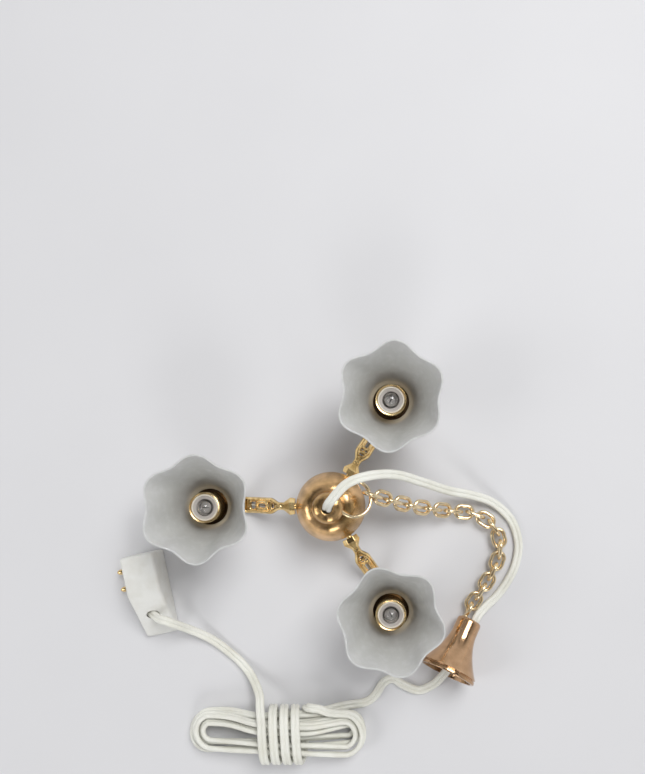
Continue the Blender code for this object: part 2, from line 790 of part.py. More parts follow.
def hank_run():
    """Centre line of the hank: loops that spiral in on one layer and out on the next, then the binding."""
    middle = BIND_HALF_HEIGHT + table
    low = table + HANK_LAYER / 2
    straight = HANK_LENGTH / 2 - HANK_FOLD
    half = HANK_LOOPS / 2
    waist = BIND_START - BIND_STEP * BIND_TURNS / 2

    def lifted(x):
        """How far the loops are lifted and drawn in at x, from 0 at the folds to 1 at the waist."""
        return ease(HANK_LIFT * (1 - abs(x - waist) / straight))

    points = []
    for count in range(HANK_LOOPS * LOOP_POINTS + 1):
        turns = count / LOOP_POINTS
        fold = HANK_FOLD - HANK_STEP * min(turns, HANK_LOOPS - turns)
        around = (turns + HANK_START) % 1
        if abs(around - 0.5) > 0.5 - HANK_BEND / 2:
            angle = math.pi * ((around + 0.5) % 1 - 0.5) / HANK_BEND
            x, y = straight + fold * math.cos(angle), fold * math.sin(angle)
        elif abs(around - 0.5) < HANK_BEND / 2:
            angle = math.pi * (1 + (around - 0.5) / HANK_BEND)
            x, y = -straight + fold * math.cos(angle), fold * math.sin(angle)
        else:
            side = 1 if around < 0.5 else -1
            x = side * straight * (1 - 2 * (around % 0.5 - HANK_BEND / 2) / (0.5 - HANK_BEND))
            y = side * fold
        y -= math.copysign(HANK_DRAW * lifted(x), y)
        climbed = ease((turns - half + HANK_CLIMB / 2) / HANK_CLIMB)
        height = low + (middle - low) * lifted(x) + (climbed - 0.5) * HANK_LAYER
        layer_turn = HANK_SKEW * (1 - 2 * climbed)
        x *= 1 - HANK_SHORTEN * climbed
        points.append((x, y + x * math.tan(layer_turn), height))
    last_x, last_y, _ = points[-1]
    for share in (0.3, 0.6, 0.85):
        x = last_x + (BIND_START - last_x) * share
        y = last_y + (BIND_HALF_WIDTH - last_y) * ease(share * 1.3)
        points.append((x, y, low + (middle - low) * lifted(x) + HANK_LAYER / 2 * (1 - ease(2 * share - 1))))
    for count in range(round(BIND_TURNS * BIND_POINTS) + 1):
        turns = count / BIND_POINTS
        across, up = math.cos(2 * math.pi * turns), -math.sin(2 * math.pi * turns)
        size = (abs(across) ** 3 + abs(up) ** 3) ** (-1 / 3)
        points.append(
            (
                BIND_START - BIND_STEP * turns,
                BIND_HALF_WIDTH * across * size,
                middle + BIND_HALF_HEIGHT * up * size,
            )
        )
    return [Vector((HANK_CENTRE[0] + x, HANK_CENTRE[1] + y, z)) for x, y, z in points]


def least_gap(points, radius):
    """The least space between stretches of a wound tube that aren't neighbours along it."""
    points = smooth_run(points, 0.25 * MM)
    apart = np.linalg.norm(points[:, None] - points[None], axis=2)
    index = np.arange(len(points))
    near = np.abs(index[:, None] - index[None]) * 0.25 * MM < 5 * radius
    return np.where(near, 1.0, apart).min() - 2 * radius


hank = hank_run()
tied_x, tied_y, tied_z = hank[-1]
hank_ends = [
    Vector((tied_x - 0.2 * MM, tied_y + 2.6 * MM, tied_z - 0.3 * MM)),
    Vector((tied_x - 0.7 * MM, tied_y + 5.1 * MM, tied_z - 1.9 * MM)),
]
hank_start = hank[0] + (hank[0] - hank[1]).normalized() * 2 * FLEX_RADIUS
hank_start.z = max(hank_start.z, table)
hank_tube = [hank_start, *hank, *hank_ends]
print(f"hank: least gap to itself {least_gap(hank_tube, HANK_RADIUS) / MM:.2f} mm")
place("flex_hank", wire("flex_hank", hank_tube, HANK_RADIUS, 1), PVC)


def beyond(point, before, distance=GAP):
    """A point straight past the end of a run: the next stretch starts one clearance from it."""
    return point + (point - before).normalized() * distance


flex_out = [
    in_rose(bore, 0, flare_top - 1.0 * MM),
    in_rose(bore + 0.1, -0.4, flare_top - 2.9 * MM),
    in_rose(bore + 0.5, -2.2, mouth + 1.5 * MM),
    in_rose(bore + 0.9, -3.4, mouth - 0.7 * MM),
    Vector((18.5 * MM, -33.2 * MM, table)),
    Vector((15.8 * MM, -34.4 * MM, table)),
    Vector((13.0 * MM, -33.5 * MM, table)),
    Vector((10.9 * MM, -32.3 * MM, table)),
    Vector((9.1 * MM, -33.1 * MM, table)),
    Vector((7.7 * MM, -35.2 * MM, table)),
    beyond(hank_start, hank[0], 3.1 * MM),
    beyond(hank_start, hank[0]),
]
flex("flex_rose_to_hank", flex_out)

# Plug: local +Y runs to its cable end, where the top slopes down to the toe, and the pins point along +X
plug_turn = Matrix.Rotation(PLUG_HEADING - math.pi / 2, 4, "Z")
plug_matrix = Matrix.Translation((*PLUG_CENTRE, TABLE_GAP)) @ plug_turn
half_width, half_length = PLUG_WIDTH / 2, PLUG_LENGTH / 2
plug = place("plug_body", bpy.data.meshes.new("plug_body"), WHITE, plug_matrix)
outline = bmesh.new()
corners = [
    (-half_length, 0),
    (half_length, 0),
    (half_length, PLUG_TOE),
    (half_length - PLUG_SLOPE, PLUG_HEIGHT),
    (-half_length, PLUG_HEIGHT),
]
face = outline.faces.new([outline.verts.new((-half_width, y, z)) for y, z in corners])
grown = bmesh.ops.extrude_face_region(outline, geom=[face])["geom"]
far_side = [corner for corner in grown if isinstance(corner, bmesh.types.BMVert)]
bmesh.ops.translate(outline, verts=far_side, vec=(PLUG_WIDTH, 0, 0))
bmesh.ops.bevel(outline, geom=outline.edges, offset=PLUG_EDGE, segments=1, affect="EDGES")
bmesh.ops.recalc_face_normals(outline, faces=outline.faces)
outline.to_mesh(plug.data)
outline.free()
slope_middle = Vector((0, half_length - PLUG_SLOPE / 2, (PLUG_HEIGHT + PLUG_TOE) / 2))
slope_normal = Vector((0, PLUG_HEIGHT - PLUG_TOE, PLUG_SLOPE)).normalized()
cable_axis = (slope_normal - Vector((CABLE_LEAN, 0, 0))).normalized()
hole_bottom = slope_middle - cable_axis * PLUG_HOLE_DEPTH
hole_mouth = slope_middle + cable_axis * 3 * FLEX_BORE
cable_hole = helper("cable_hole", cylinder("cable_hole", hole_bottom, hole_mouth, FLEX_BORE))
cable_hole.matrix_world = plug_matrix
boolean(plug, cable_hole, "DIFFERENCE")
pin_middle = -half_length + PIN_FROM_END + PIN_SPACING / 2
for name, side in (("left", -1), ("right", 1)):
    y = pin_middle + side * PIN_SPACING / 2
    hole_end, hole_start = (half_width - PIN_SEAT, y, PIN_HEIGHT), (half_width + GAP, y, PIN_HEIGHT)
    seat_hole = helper(
        f"pin_hole_{name}", cylinder("pin_hole", hole_end, hole_start, PIN_RADIUS + GAP / 2, 12)
    )
    seat_hole.matrix_world = plug_matrix
    boolean(plug, seat_hole, "DIFFERENCE")
    pin_root = (half_width - PIN_SEAT + GAP, y, PIN_HEIGHT)
    pin_tip = (half_width + PIN_LENGTH, y, PIN_HEIGHT)
    place(f"plug_pin_{name}", cylinder("plug_pin", pin_root, pin_tip, PIN_RADIUS, 12), GOLD, plug_matrix)

flex_last = [
    beyond(hank_ends[-1], hank_ends[-2]),
    beyond(hank_ends[-1], hank_ends[-2], 2.6 * MM),
    Vector((-15.3 * MM, -31.4 * MM, 1.3 * MM)),
    Vector((-17.4 * MM, -29.1 * MM, table)),
    Vector((-19.6 * MM, -27.2 * MM, table)),
    Vector((-22.6 * MM, -24.9 * MM, 1.0 * MM)),
    Vector((-26.0 * MM, -22.8 * MM, 2.6 * MM)),
    plug_matrix @ (slope_middle + cable_axis * 4.2 * MM + Vector((-0.6 * MM, 0, -0.6 * MM))),
    plug_matrix @ (slope_middle + cable_axis * 1.8 * MM),
    plug_matrix @ (slope_middle - cable_axis * (PLUG_HOLE_DEPTH - GAP)),
]
flex("flex_hank_to_plug", flex_last)
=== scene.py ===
"""Looks of the miniature chandelier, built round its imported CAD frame. Metres, in the frame's own axes."""

import math

import bpy
import numpy as np
from mathutils import Matrix, Vector


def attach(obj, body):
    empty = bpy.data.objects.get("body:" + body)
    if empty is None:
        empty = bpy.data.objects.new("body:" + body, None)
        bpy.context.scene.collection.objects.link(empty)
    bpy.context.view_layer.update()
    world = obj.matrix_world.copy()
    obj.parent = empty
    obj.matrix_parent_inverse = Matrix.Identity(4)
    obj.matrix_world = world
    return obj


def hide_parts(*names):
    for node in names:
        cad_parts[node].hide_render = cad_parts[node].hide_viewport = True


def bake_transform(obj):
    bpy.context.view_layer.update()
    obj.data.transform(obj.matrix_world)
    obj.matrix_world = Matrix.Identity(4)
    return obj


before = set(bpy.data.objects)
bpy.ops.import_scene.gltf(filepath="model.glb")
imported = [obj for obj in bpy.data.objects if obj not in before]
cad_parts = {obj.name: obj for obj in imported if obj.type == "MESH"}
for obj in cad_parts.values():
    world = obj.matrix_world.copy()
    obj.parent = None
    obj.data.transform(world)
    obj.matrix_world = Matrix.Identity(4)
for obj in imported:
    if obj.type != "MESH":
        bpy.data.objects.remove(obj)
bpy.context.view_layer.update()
MM = 0.001

# Camera, table and light. The camera hangs close above the fixture, a little to the right of its hub,
# as a hand-held one would. The table is a pale matt sheet that fades into the distance. Three soft boxes
# light it, and dark folds hang high round the studio for the metal to mirror.
CAMERA_PLACE = (11.3 * MM, 5.9 * MM, 135 * MM)
FADE_START = 130.0
FADE_END = 700.0
camera = bpy.data.objects.new("camera", bpy.data.cameras.new("camera"))
camera.location = CAMERA_PLACE
camera.data.lens = 33.7
camera.data.sensor_width = 36
camera.data.shift_x = -0.0937
camera.data.shift_y = 0.1111
camera.data.clip_start = 0.002
camera.data.clip_end = 20
bpy.context.scene.collection.objects.link(camera)
bpy.context.scene.camera = camera
bpy.context.scene.view_settings.view_transform = "Standard"


class Signal:
    """A shader socket that can stand in a sum or product: each operator adds the node it needs."""

    tree = None

    def __init__(self, socket):
        self.socket = socket

    @classmethod
    def node(cls, kind, settings=None, inputs=None, output=0):
        """Adds a node: its settings are set first, and then its sockets' values or links."""
        made = cls.tree.nodes.new("ShaderNode" + kind)
        for name, value in (settings or {}).items():
            if name == "stops":
                ramp = made.color_ramp.elements
                while len(ramp) < len(value):
                    ramp.new(1)
                for stop, (place, shade) in zip(ramp, value):
                    stop.position = place
                    stop.color = (*shade, 1) if isinstance(shade, tuple) else (shade, shade, shade, 1)
            else:
                setattr(made, name, value)
        for name, value in (inputs or {}).items():
            if isinstance(value, cls):
                cls.tree.links.new(value.socket, made.inputs[name])
            else:
                made.inputs[name].default_value = value
        return cls(made.outputs[output])

    @classmethod
    def combine(cls, operation, left, right):
        """A sum or product of two values; a vector goes through Vector Math."""
        vector = any(isinstance(side, cls) and side.socket.type == "VECTOR" for side in (left, right))
        if vector and operation == "MULTIPLY" and not isinstance(right, cls):
            return cls.node("VectorMath", {"operation": "SCALE"}, {0: left, "Scale": right})
        return cls.node("VectorMath" if vector else "Math", {"operation": operation}, {0: left, 1: right})

    def __add__(self, other):
        return self.combine("ADD", self, other)

    def __radd__(self, other):
        return self.combine("ADD", other, self)

    def __mul__(self, other):
        return self.combine("MULTIPLY", self, other)

    __rmul__ = __mul__

    @classmethod
    def mix(cls, factor, low, high):
        """A colour between two others."""
        sides = [(*side, 1) if isinstance(side, tuple) else side for side in (low, high)]
        inputs = {"Factor": factor, 6: sides[0], 7: sides[1]}
        return cls.node("Mix", {"data_type": "RGBA"}, inputs, 2)

    @classmethod
    def noise(cls, place, scale, detail=3.0):
        """Soft noise from 0 to 1, its scale counted per millimetre."""
        return cls.node("TexNoise", None, {"Vector": place, "Scale": scale, "Detail": detail})

    @classmethod
    def millimetres(cls):
        """The place on the piece, in millimetres."""
        return cls.node("TexCoord", output="Object") * 1000


def material(name, **fixed):
    """A new material whose shader has these fixed values; the signals made next go into it."""
    made = bpy.data.materials.new(name)
    made.use_nodes = True
    Signal.tree = made.node_tree
    shader = made.node_tree.nodes["Principled BSDF"]
    for socket, value in fixed.items():
        shader.inputs[socket.replace("_", " ")].default_value = value
    return made


def feed(made, height=None, depth=0.0, **signals):
    """Links signals to the shader's sockets, and a height in millimetres to its bump."""
    shader = made.node_tree.nodes["Principled BSDF"]
    for socket, signal in signals.items():
        made.node_tree.links.new(signal.socket, shader.inputs[socket.replace("_", " ")])
    if height is not None:
        bump = Signal.node("Bump", None, {"Height": height, "Distance": depth * MM, "Strength": 1.0})
        made.node_tree.links.new(bump.socket, shader.inputs["Normal"])


table_paint = material("table_paint", Roughness=0.6, Specular_IOR_Level=0.3)
mottle = Signal.noise(Signal.millimetres(), 0.03)
feed(table_paint, Base_Color=Signal.mix(mottle, (0.62, 0.62, 0.635), (0.66, 0.66, 0.675)))
away = Signal.node("VectorMath", {"operation": "LENGTH"}, {0: Signal.millimetres()}, "Value")
fade = {"Value": away, "From Min": FADE_START, "From Max": FADE_END}
distant = Signal.node("MapRange", {"interpolation_type": "SMOOTHSTEP"}, fade)
seen = [Signal.node("LightPath", output=f"Is {kind} Ray") for kind in ("Camera", "Glossy", "Transmission")]
glow = Signal.node("Emission", None, {"Color": (0.80, 0.80, 0.81, 1)})
paint = Signal(table_paint.node_tree.nodes["Principled BSDF"].outputs[0])
blended = Signal.node("MixShader", None, {0: distant * (seen[0] + seen[1] + seen[2]), 1: paint, 2: glow})
surface = table_paint.node_tree.nodes["Material Output"].inputs["Surface"]
table_paint.node_tree.links.new(blended.socket, surface)
bpy.ops.object.select_all(action="DESELECT")
bpy.ops.mesh.primitive_plane_add(size=4)
table = bpy.context.object
table.name = "table"
table.data.materials.append(table_paint)

for name, place, size, watts in (
    ("key_box", (0.16, 0.22, 0.42), 0.26, 1.8),
    ("fill_box", (-0.34, -0.10, 0.30), 0.18, 0.45),
    ("strip_box", (0.05, -0.36, 0.26), 0.14, 0.35),
):
    light = bpy.data.objects.new(name, bpy.data.lights.new(name, "AREA"))
    light.data.size = size
    light.data.energy = watts
    light.location = place
    light.rotation_euler = (-Vector(place)).to_track_quat("-Z", "Y").to_euler()
    bpy.context.scene.collection.objects.link(light)

world = bpy.data.worlds.new("studio")
bpy.context.scene.world = world
world.use_nodes = True
Signal.tree = world.node_tree
toward = Signal.node("TexCoord", output="Generated")
height = Signal.node("SeparateXYZ", None, {0: toward}, "Z")
sky_tones = (
    (0.0, (0.80, 0.80, 0.81)),
    (0.25, (0.72, 0.72, 0.73)),
    (0.7, (0.36, 0.36, 0.36)),
    (1.0, (0.46, 0.46, 0.46)),
)
sky = Signal.node("ValToRGB", {"stops": sky_tones}, {0: height})
around = Signal.node("Mapping", None, {"Vector": toward, "Scale": (1.0, 1.0, 0.35)})
folds = Signal.node("ValToRGB", {"stops": ((0.44, 1.0), (0.53, 0.0))}, {0: Signal.noise(around, 2.1, 1.0)})
hung = Signal.node("MapRange", None, {"Value": height, "From Min": 0.38, "From Max": 0.6})
lit = Signal.mix(folds * hung, sky, (0.035, 0.03, 0.03))
world.node_tree.links.new(lit.socket, world.node_tree.nodes["Background"].inputs["Color"])

# Hub: finial, bowl, dome and boss are turned in soft brass, polished, plated and lacquered, the finial in
# yellow gold and the rest in rose gold. They are stacked on a hollow stem, which keeps its CAD shape.
POLE = 0.001
HUB_BORE = 1.7
DOME_TOP = 12.3
DOME_CURVE = 2.6
BOSS_FOOT = 12.31
BOSS_TOP = 14.7
FLEX_BORE = 0.9


def smooth_run(points, step):
    """Points a step apart on a smooth curve through the given ones."""
    points = np.array([tuple(point) for point in points], float)
    ends = np.vstack([2 * points[0] - points[1], points, 2 * points[-1] - points[-2]])
    share = np.linspace(0, 1, 24, endpoint=False)[:, None]
    dense = []
    for before, start, end, after in zip(ends, ends[1:], ends[2:], ends[3:]):
        dense.append(
            0.5
            * (
                2 * start
                + (end - before) * share
                + (2 * before - 5 * start + 4 * end - after) * share**2
                + (3 * start - before - 3 * end + after) * share**3
            )
        )
    dense = np.vstack([*dense, points[-1:]])
    lengths = np.r_[0, np.cumsum(np.linalg.norm(np.diff(dense, axis=0), axis=1))]
    marks = np.linspace(0, lengths[-1], max(2, round(lengths[-1] / step) + 1))
    return np.stack([np.interp(marks, lengths, axis) for axis in dense.T], axis=1)


def quarter(narrow, wide, narrow_height, wide_height, count=24):
    """An elliptical quarter of a profile, from its narrow end to its wide one."""
    angles = np.linspace(0, math.pi / 2, count)
    rise = narrow_height - wide_height
    return [(narrow + (wide - narrow) * math.sin(a), wide_height + rise * math.cos(a)) for a in angles]


def turned_piece(name, profile, segments=96, edge=0.06):
    """Extrudes a circle along a profile of (radius, height) in millimetres, and rounds its sharp edges."""
    bpy.ops.object.select_all(action="DESELECT")
    start = (0, 0, profile[0][1] * MM)
    bpy.ops.mesh.primitive_circle_add(vertices=segments, radius=profile[0][0] * MM, location=start)
    piece = bpy.context.object
    piece.name = name
    bpy.ops.object.mode_set(mode="EDIT")
    bpy.ops.mesh.select_all(action="SELECT")
    for (radius, height), (wider, higher) in zip(profile, profile[1:]):
        bpy.ops.mesh.extrude_edges_move(TRANSFORM_OT_translate={"value": (0, 0, (higher - height) * MM)})
        grow = wider / radius
        bpy.ops.transform.resize(value=(grow, grow, 1), center_override=(0, 0, higher * MM))
    bpy.ops.mesh.select_all(action="SELECT")
    bpy.ops.mesh.remove_doubles(threshold=3 * POLE * MM)
    bpy.ops.mesh.normals_make_consistent(inside=False)
    bpy.ops.object.mode_set(mode="OBJECT")
    bpy.ops.object.transform_apply(location=True, rotation=True, scale=True)
    round_edges(piece, edge)
    turned = piece.data.attributes.new("turned", "FLOAT_VECTOR", "POINT")
    for corner, value in zip(piece.data.vertices, turned.data):
        value.vector = (corner.co.xy.length / MM, math.atan2(corner.co.y, corner.co.x), corner.co.z / MM)
    return piece


def round_edges(piece, edge, segments=2):
    """Rounds the sharp edges by so many millimetres and shades the rest smooth."""
    bpy.ops.object.select_all(action="DESELECT")
    piece.select_set(True)
    bpy.context.view_layer.objects.active = piece
    if edge:
        bevel = piece.modifiers.new("edges", "BEVEL")
        bevel.width = edge * MM
        bevel.segments = segments
        bevel.limit_method = "ANGLE"
        bevel.angle_limit = math.radians(35)
        bpy.ops.object.modifier_apply(modifier=bevel.name)
    bpy.ops.object.shade_smooth_by_angle(angle=math.radians(40))


def fit(piece, paint, slot, body, *nodes):
    """Gives a finished piece its material, and seats it on its body in place of CAD nodes. The slot argument
    is not used.
    """
    piece.data.materials.clear()
    piece.data.materials.append(paint)
    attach(piece, body)
    if nodes:
        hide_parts(*nodes)
    return piece


def turned_metal(name, bright, deep, rough, dirt_and_shade=0.0, brushed=0.0):
    """Polished plate with turning lines; patches of painted reflection in rays round the axis, mixed with
    random cloudy tone; painted shade darkens the radii within a given radius.
    """
    coat = {"Coat_Weight": 0.15, "Coat_Roughness": 0.08}
    made = material(name, Metallic=1.0, Anisotropic=brushed, Anisotropic_Rotation=0.25, **coat)
    place = Signal.millimetres()
    turned = Signal.node("Attribute", {"attribute_name": "turned"}, output="Vector")
    radius = Signal.node("SeparateXYZ", None, {0: turned}, "X")
    height = Signal.node("SeparateXYZ", None, {0: turned}, "Z")
    along = radius * 7.0 + height * 7.0
    lines = Signal.node("TexNoise", {"noise_dimensions": "1D"}, {"W": along, "Scale": 1.0, "Detail": 3.0})
    cloud = Signal.noise(place, 0.5, 4.0)
    grain = Signal.noise(place, 9.0, 2.0)
    angle = Signal.node("SeparateXYZ", None, {0: turned}, "Y")
    wedge = [Signal.node("Math", {"operation": turn}, {0: angle}) for turn in ("COSINE", "SINE")]
    spoke = Signal.node("CombineXYZ", None, {0: wedge[0], 1: wedge[1], 2: radius * 0.06})
    # Painted reflection: noise over the angle round the axis paints lighter and darker wedges, as a turned
    # surface mirrors its surroundings; random cloudy tone is mixed in.
    painted_reflection_rays = Signal.noise(spoke, 1.7, 2.0)
    patch = Signal.node("ValToRGB", {"stops": ((0.42, 0.0), (0.62, 1.0))}, {0: painted_reflection_rays * 0.65 + cloud * 0.35})
    color = Signal.mix(patch, bright, deep)
    # Painted shade: within the given radius the colour goes almost black.
    if dirt_and_shade:
        edge = {"From Min": dirt_and_shade, "From Max": dirt_and_shade + 0.25}
        outside_painted_shade = Signal.node("MapRange", None, {"Value": radius, **edge})
        color = Signal.mix(outside_painted_shade, (0.05, 0.028, 0.012), color)
    feed(
        made,
        height=lines * 0.7 + grain * 0.3,
        depth=0.003,
        Base_Color=color,
        Roughness=rough + 0.10 * cloud + 0.06 * lines,
    )
    return made


rose_gold = turned_metal("rose_gold_plate", (0.95, 0.61, 0.30), (0.46, 0.29, 0.12), 0.16, brushed=0.9)
gold = turned_metal("gold_plate", (0.88, 0.68, 0.36), (0.74, 0.52, 0.24), 0.14)

finial_side = smooth_run(
    [
        (2.05, 3.18),
        (2.2, 2.95),
        (2.2, 2.5),
        (2.0, 2.15),
        (1.5, 1.9),
        (1.17, 1.62),
        (1.35, 1.3),
        (1.6, 0.95),
        (1.6, 0.6),
        (1.42, 0.18),
        (1.3, 0.0),
    ],
    0.08,
)
finial_top = [(POLE, 1.8), (HUB_BORE, 1.8), (HUB_BORE, 3.2)]
finial = turned_piece("hub_finial_turned", [*finial_top, *map(tuple, finial_side), (POLE, 0.0)], 72, 0.04)
fit(finial, gold, "gold", "chandelier", "hub_finial")

bowl_outer = quarter(2.2, 6.1, 3.5, 7.3)
bowl_inner = quarter(2.2, 5.5, 4.1, 7.3)
bowl_bore = [(HUB_BORE, 4.1), (HUB_BORE, 3.5)]
bowl = turned_piece("hub_bowl_turned", [bowl_bore[1], *bowl_outer, *bowl_inner[::-1], *bowl_bore], 128)
fit(bowl, rose_gold, "rose_gold", "chandelier", "hub_bowl")

dome_shares = np.linspace(0, 1, 36)
dome_outer = [(2.9 + 3.2 * share, DOME_TOP - 4.7 * share**DOME_CURVE) for share in dome_shares]
dome_inner = [(2.3 + 3.2 * share, 11.7 - 4.1 * share**DOME_CURVE) for share in dome_shares]
dome_bore = [(HUB_BORE, 11.7), (HUB_BORE, DOME_TOP)]
dome = turned_piece("hub_dome_turned", [dome_bore[1], *dome_outer, *dome_inner[::-1], *dome_bore], 128)
fit(dome, rose_gold, "rose_gold", "chandelier", "hub_dome")

boss_side = smooth_run(
    [(2.7, 13.2), (2.66, 13.6), (2.5, 14.05), (2.2, 14.4), (1.8, 14.6), (1.3, BOSS_TOP), (0.98, 14.68)], 0.08
)
boss_bore = [(FLEX_BORE, 14.6), (FLEX_BORE, BOSS_FOOT)]
boss_profile = [boss_bore[1], (2.7, BOSS_FOOT), *map(tuple, boss_side), *boss_bore]
boss = turned_piece("loop_boss_turned", boss_profile)

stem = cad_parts["centre_stem"]
stem.data.materials.clear()
stem.data.materials.append(gold)

# Hanging ring: brass wire bent round and left with a hairline cut, threaded through a curved hole that is
# drilled across the boss. It lies back over the dome and carries the first link.
RING_RADIUS = 3.1
RING_WIRE = 0.3
RING_TURN = Matrix.Rotation(math.radians(20), 4, "Z")
RING_PIVOT = Matrix.Translation((1.75 * MM, 0, 13.545 * MM))
RING_PLACE = RING_TURN @ RING_PIVOT @ Matrix.Rotation(math.radians(24), 4, "Y")
RING_CLEAR = 0.28


def ring_of_wire(name, radius, wire, cut=2.5, steps=120):
    """Spins a wire's round section about Z, short of a full turn by the cut, and closes its two ends."""
    bpy.ops.object.select_all(action="DESELECT")
    bpy.ops.mesh.primitive_circle_add(
        vertices=20, radius=wire * MM, location=(radius * MM, 0, 0), rotation=(math.pi / 2, 0, 0)
    )
    ring = bpy.context.object
    ring.name = name
    bpy.ops.object.transform_apply(location=True, rotation=True, scale=True)
    bpy.ops.object.mode_set(mode="EDIT")
    bpy.ops.mesh.select_all(action="SELECT")
    bpy.ops.mesh.spin(steps=steps, angle=math.radians(360 - cut), center=(0, 0, 0), axis=(0, 0, 1))
    bpy.ops.mesh.select_all(action="SELECT")
    if cut:
        bpy.ops.mesh.fill_holes(sides=0)
    else:
        bpy.ops.mesh.remove_doubles(threshold=3 * POLE * MM)
    bpy.ops.mesh.normals_make_consistent(inside=False)
    bpy.ops.object.mode_set(mode="OBJECT")
    round_edges(ring, 0)
    return ring


ring = ring_of_wire("hanging_ring_wire", RING_RADIUS, RING_WIRE)
ring.data.transform(RING_PLACE @ Matrix.Translation((RING_RADIUS * MM, 0, 0)))
ring_space = ring_of_wire("ring_space", RING_RADIUS, RING_WIRE + RING_CLEAR, cut=0)
ring_space.data.transform(RING_PLACE @ Matrix.Translation((RING_RADIUS * MM, 0, 0)))


def cut_out(piece, cutter):
    """Cuts one piece's shape out of another, and removes the cutter."""
    bpy.ops.object.select_all(action="DESELECT")
    bpy.context.view_layer.objects.active = piece
    cut = piece.modifiers.new("cut", "BOOLEAN")
    cut.operation = "DIFFERENCE"
    cut.solver = "EXACT"
    cut.object = cutter
    bpy.ops.object.modifier_apply(modifier=cut.name)
    bpy.data.objects.remove(cutter)
    round_edges(piece, 0)


cut_out(boss, ring_space)
fit(boss, rose_gold, "rose_gold", "chandelier", "loop_boss")


def cast_metal(name, bright, deep, rough, underside_shade=None):
    """Plated wire or casting, slightly uneven and cloudy; a casting may get painted shade in another colour
    on its undersides.
    """
    made = material(name, Metallic=1.0, Coat_Weight=0.2, Coat_Roughness=0.1)
    place = Signal.millimetres()
    cloud = Signal.noise(place, 0.9, 3.0)
    pits = Signal.noise(place, 5.0, 3.0)
    patch = Signal.node("ValToRGB", {"stops": ((0.38, 0.0), (0.7, 1.0))}, {0: cloud})
    color = Signal.mix(patch, bright, deep)
    if underside_shade:
        crest = Signal.node("Attribute", {"attribute_name": "crest"}, output="Fac")
        color = Signal.mix(crest, underside_shade, color)
    feed(
        made,
        height=cloud * 0.4 + pits * 0.6,
        depth=0.012,
        Base_Color=color,
        Roughness=rough + 0.14 * pits,
    )
    return made


wire_gold = cast_metal("gold_wire", (0.90, 0.75, 0.50), (0.76, 0.58, 0.34), 0.14)
fit(ring, wire_gold, "gold", "ring", "hanging_ring")

# Arms: three like castings in gilt metal. Each has a faceted lug with a tenon into the bowl, a twisted neck,
# two heavy rails with a raised six-sided frame and small windows between them, and a pad for the cup.
ARM_REACH = 21.2
LUG_START = 6.4
LUG_END = 8.5
LUG_Z = 6.236
LUG_WIDTH = 3.1
LUG_HEIGHT = 2.2
ARM_ROOT = LUG_END - 0.55
ARM_LOW = 0.68
RAIL = 0.45
PAD_RADIUS = 1.6
PAD_DEPTH = 1.1
PAD_Z = 4.85
HEXAGON = ((0.275, 0), (0.315, 0.55), (0.42, 0.55), (0.46, 0), (0.42, -0.55), (0.315, -0.55))
BARS = ((0.155, 0.4), (0.23, 0.36), (0.29, 0.34), (0.45, 0.4), (0.575, 0.42), (0.62, 0.42), (0.72, 0.42))
NECK = 0.15
NECK_TURNS = 1.25
NECK_SPREAD = 0.32


def ease(share):
    """A smooth step from 0 to 1."""
    share = min(1.0, max(0.0, share))
    return share * share * (3 - 2 * share)


def arm_point(share, spread=0.0, lift=0.0):
    """A point on the arm in millimetres: down from the lug to the table, then up to the pad."""
    if share < ARM_LOW:
        height = LUG_Z + (RAIL + 0.05 - LUG_Z) * ease(share / ARM_LOW)
    else:
        height = RAIL + 0.05 + (PAD_Z - RAIL - 0.05) * ((share - ARM_LOW) / (1 - ARM_LOW)) ** 2
    return (ARM_ROOT + (ARM_REACH - ARM_ROOT) * share, spread, height + lift)


def rail_spread(share):
    """How far each rail stands from the arm's middle, in millimetres."""
    return 0.25 + 0.8 * ease((share - 0.1) / 0.14) - 0.1 * ease((share - 0.8) / 0.2)


def tube(name, points, radius, closed=False, resolution=5):
    """A round wire through points in millimetres, as a mesh."""
    line = bpy.data.curves.new(name, "CURVE")
    line.dimensions = "3D"
    spline = line.splines.new("POLY")
    spline.points.add(len(points) - 1)
    for corner, point in zip(spline.points, points):
        corner.co = (*(Vector(point) * MM), 1)
    spline.use_cyclic_u = closed
    line.bevel_depth = radius * MM
    line.bevel_resolution = resolution
    line.use_fill_caps = not closed
    wire = bpy.data.objects.new(name, line)
    bpy.context.scene.collection.objects.link(wire)
    bpy.ops.object.select_all(action="DESELECT")
    wire.select_set(True)
    bpy.context.view_layer.objects.active = wire
    bpy.ops.object.convert(target="MESH")
    wire = bpy.context.object
    bpy.ops.object.shade_smooth()
    return wire


def joined(name, pieces):
    """Joins pieces into the first."""
    bpy.ops.object.select_all(action="DESELECT")
    for piece in pieces:
        piece.select_set(True)
    bpy.context.view_layer.objects.active = pieces[0]
    bpy.ops.object.join()
    pieces[0].name = name
    return pieces[0]


shares = np.linspace(0, 1, 48)
strands = [tube("rail", [arm_point(s, side * rail_spread(s)) for s in shares], RAIL) for side in (-1, 1)]
strands.append(tube("hexagon", [arm_point(s, y, 0.3) for s, y in HEXAGON], 0.3, closed=True))
for bar_share, bar in BARS:
    reach = rail_spread(bar_share)
    strands.append(tube("bar", [arm_point(bar_share, y * reach, 0.06) for y in (-1, 0, 1)], bar))
for turn in (0, math.pi):
    knot = []
    for share in np.linspace(0, NECK, 30):
        angle = turn + 2 * math.pi * NECK_TURNS * share / NECK
        x, y, z = arm_point(share)
        knot.append((x, y + NECK_SPREAD * math.cos(angle), z + NECK_SPREAD * math.sin(angle)))
    strands.append(tube("knot", knot, 0.27))
bpy.ops.object.select_all(action="DESELECT")
bpy.ops.mesh.primitive_cylinder_add(
    vertices=48, radius=PAD_RADIUS * MM, depth=PAD_DEPTH * MM, location=(ARM_REACH * MM, 0, PAD_Z * MM)
)
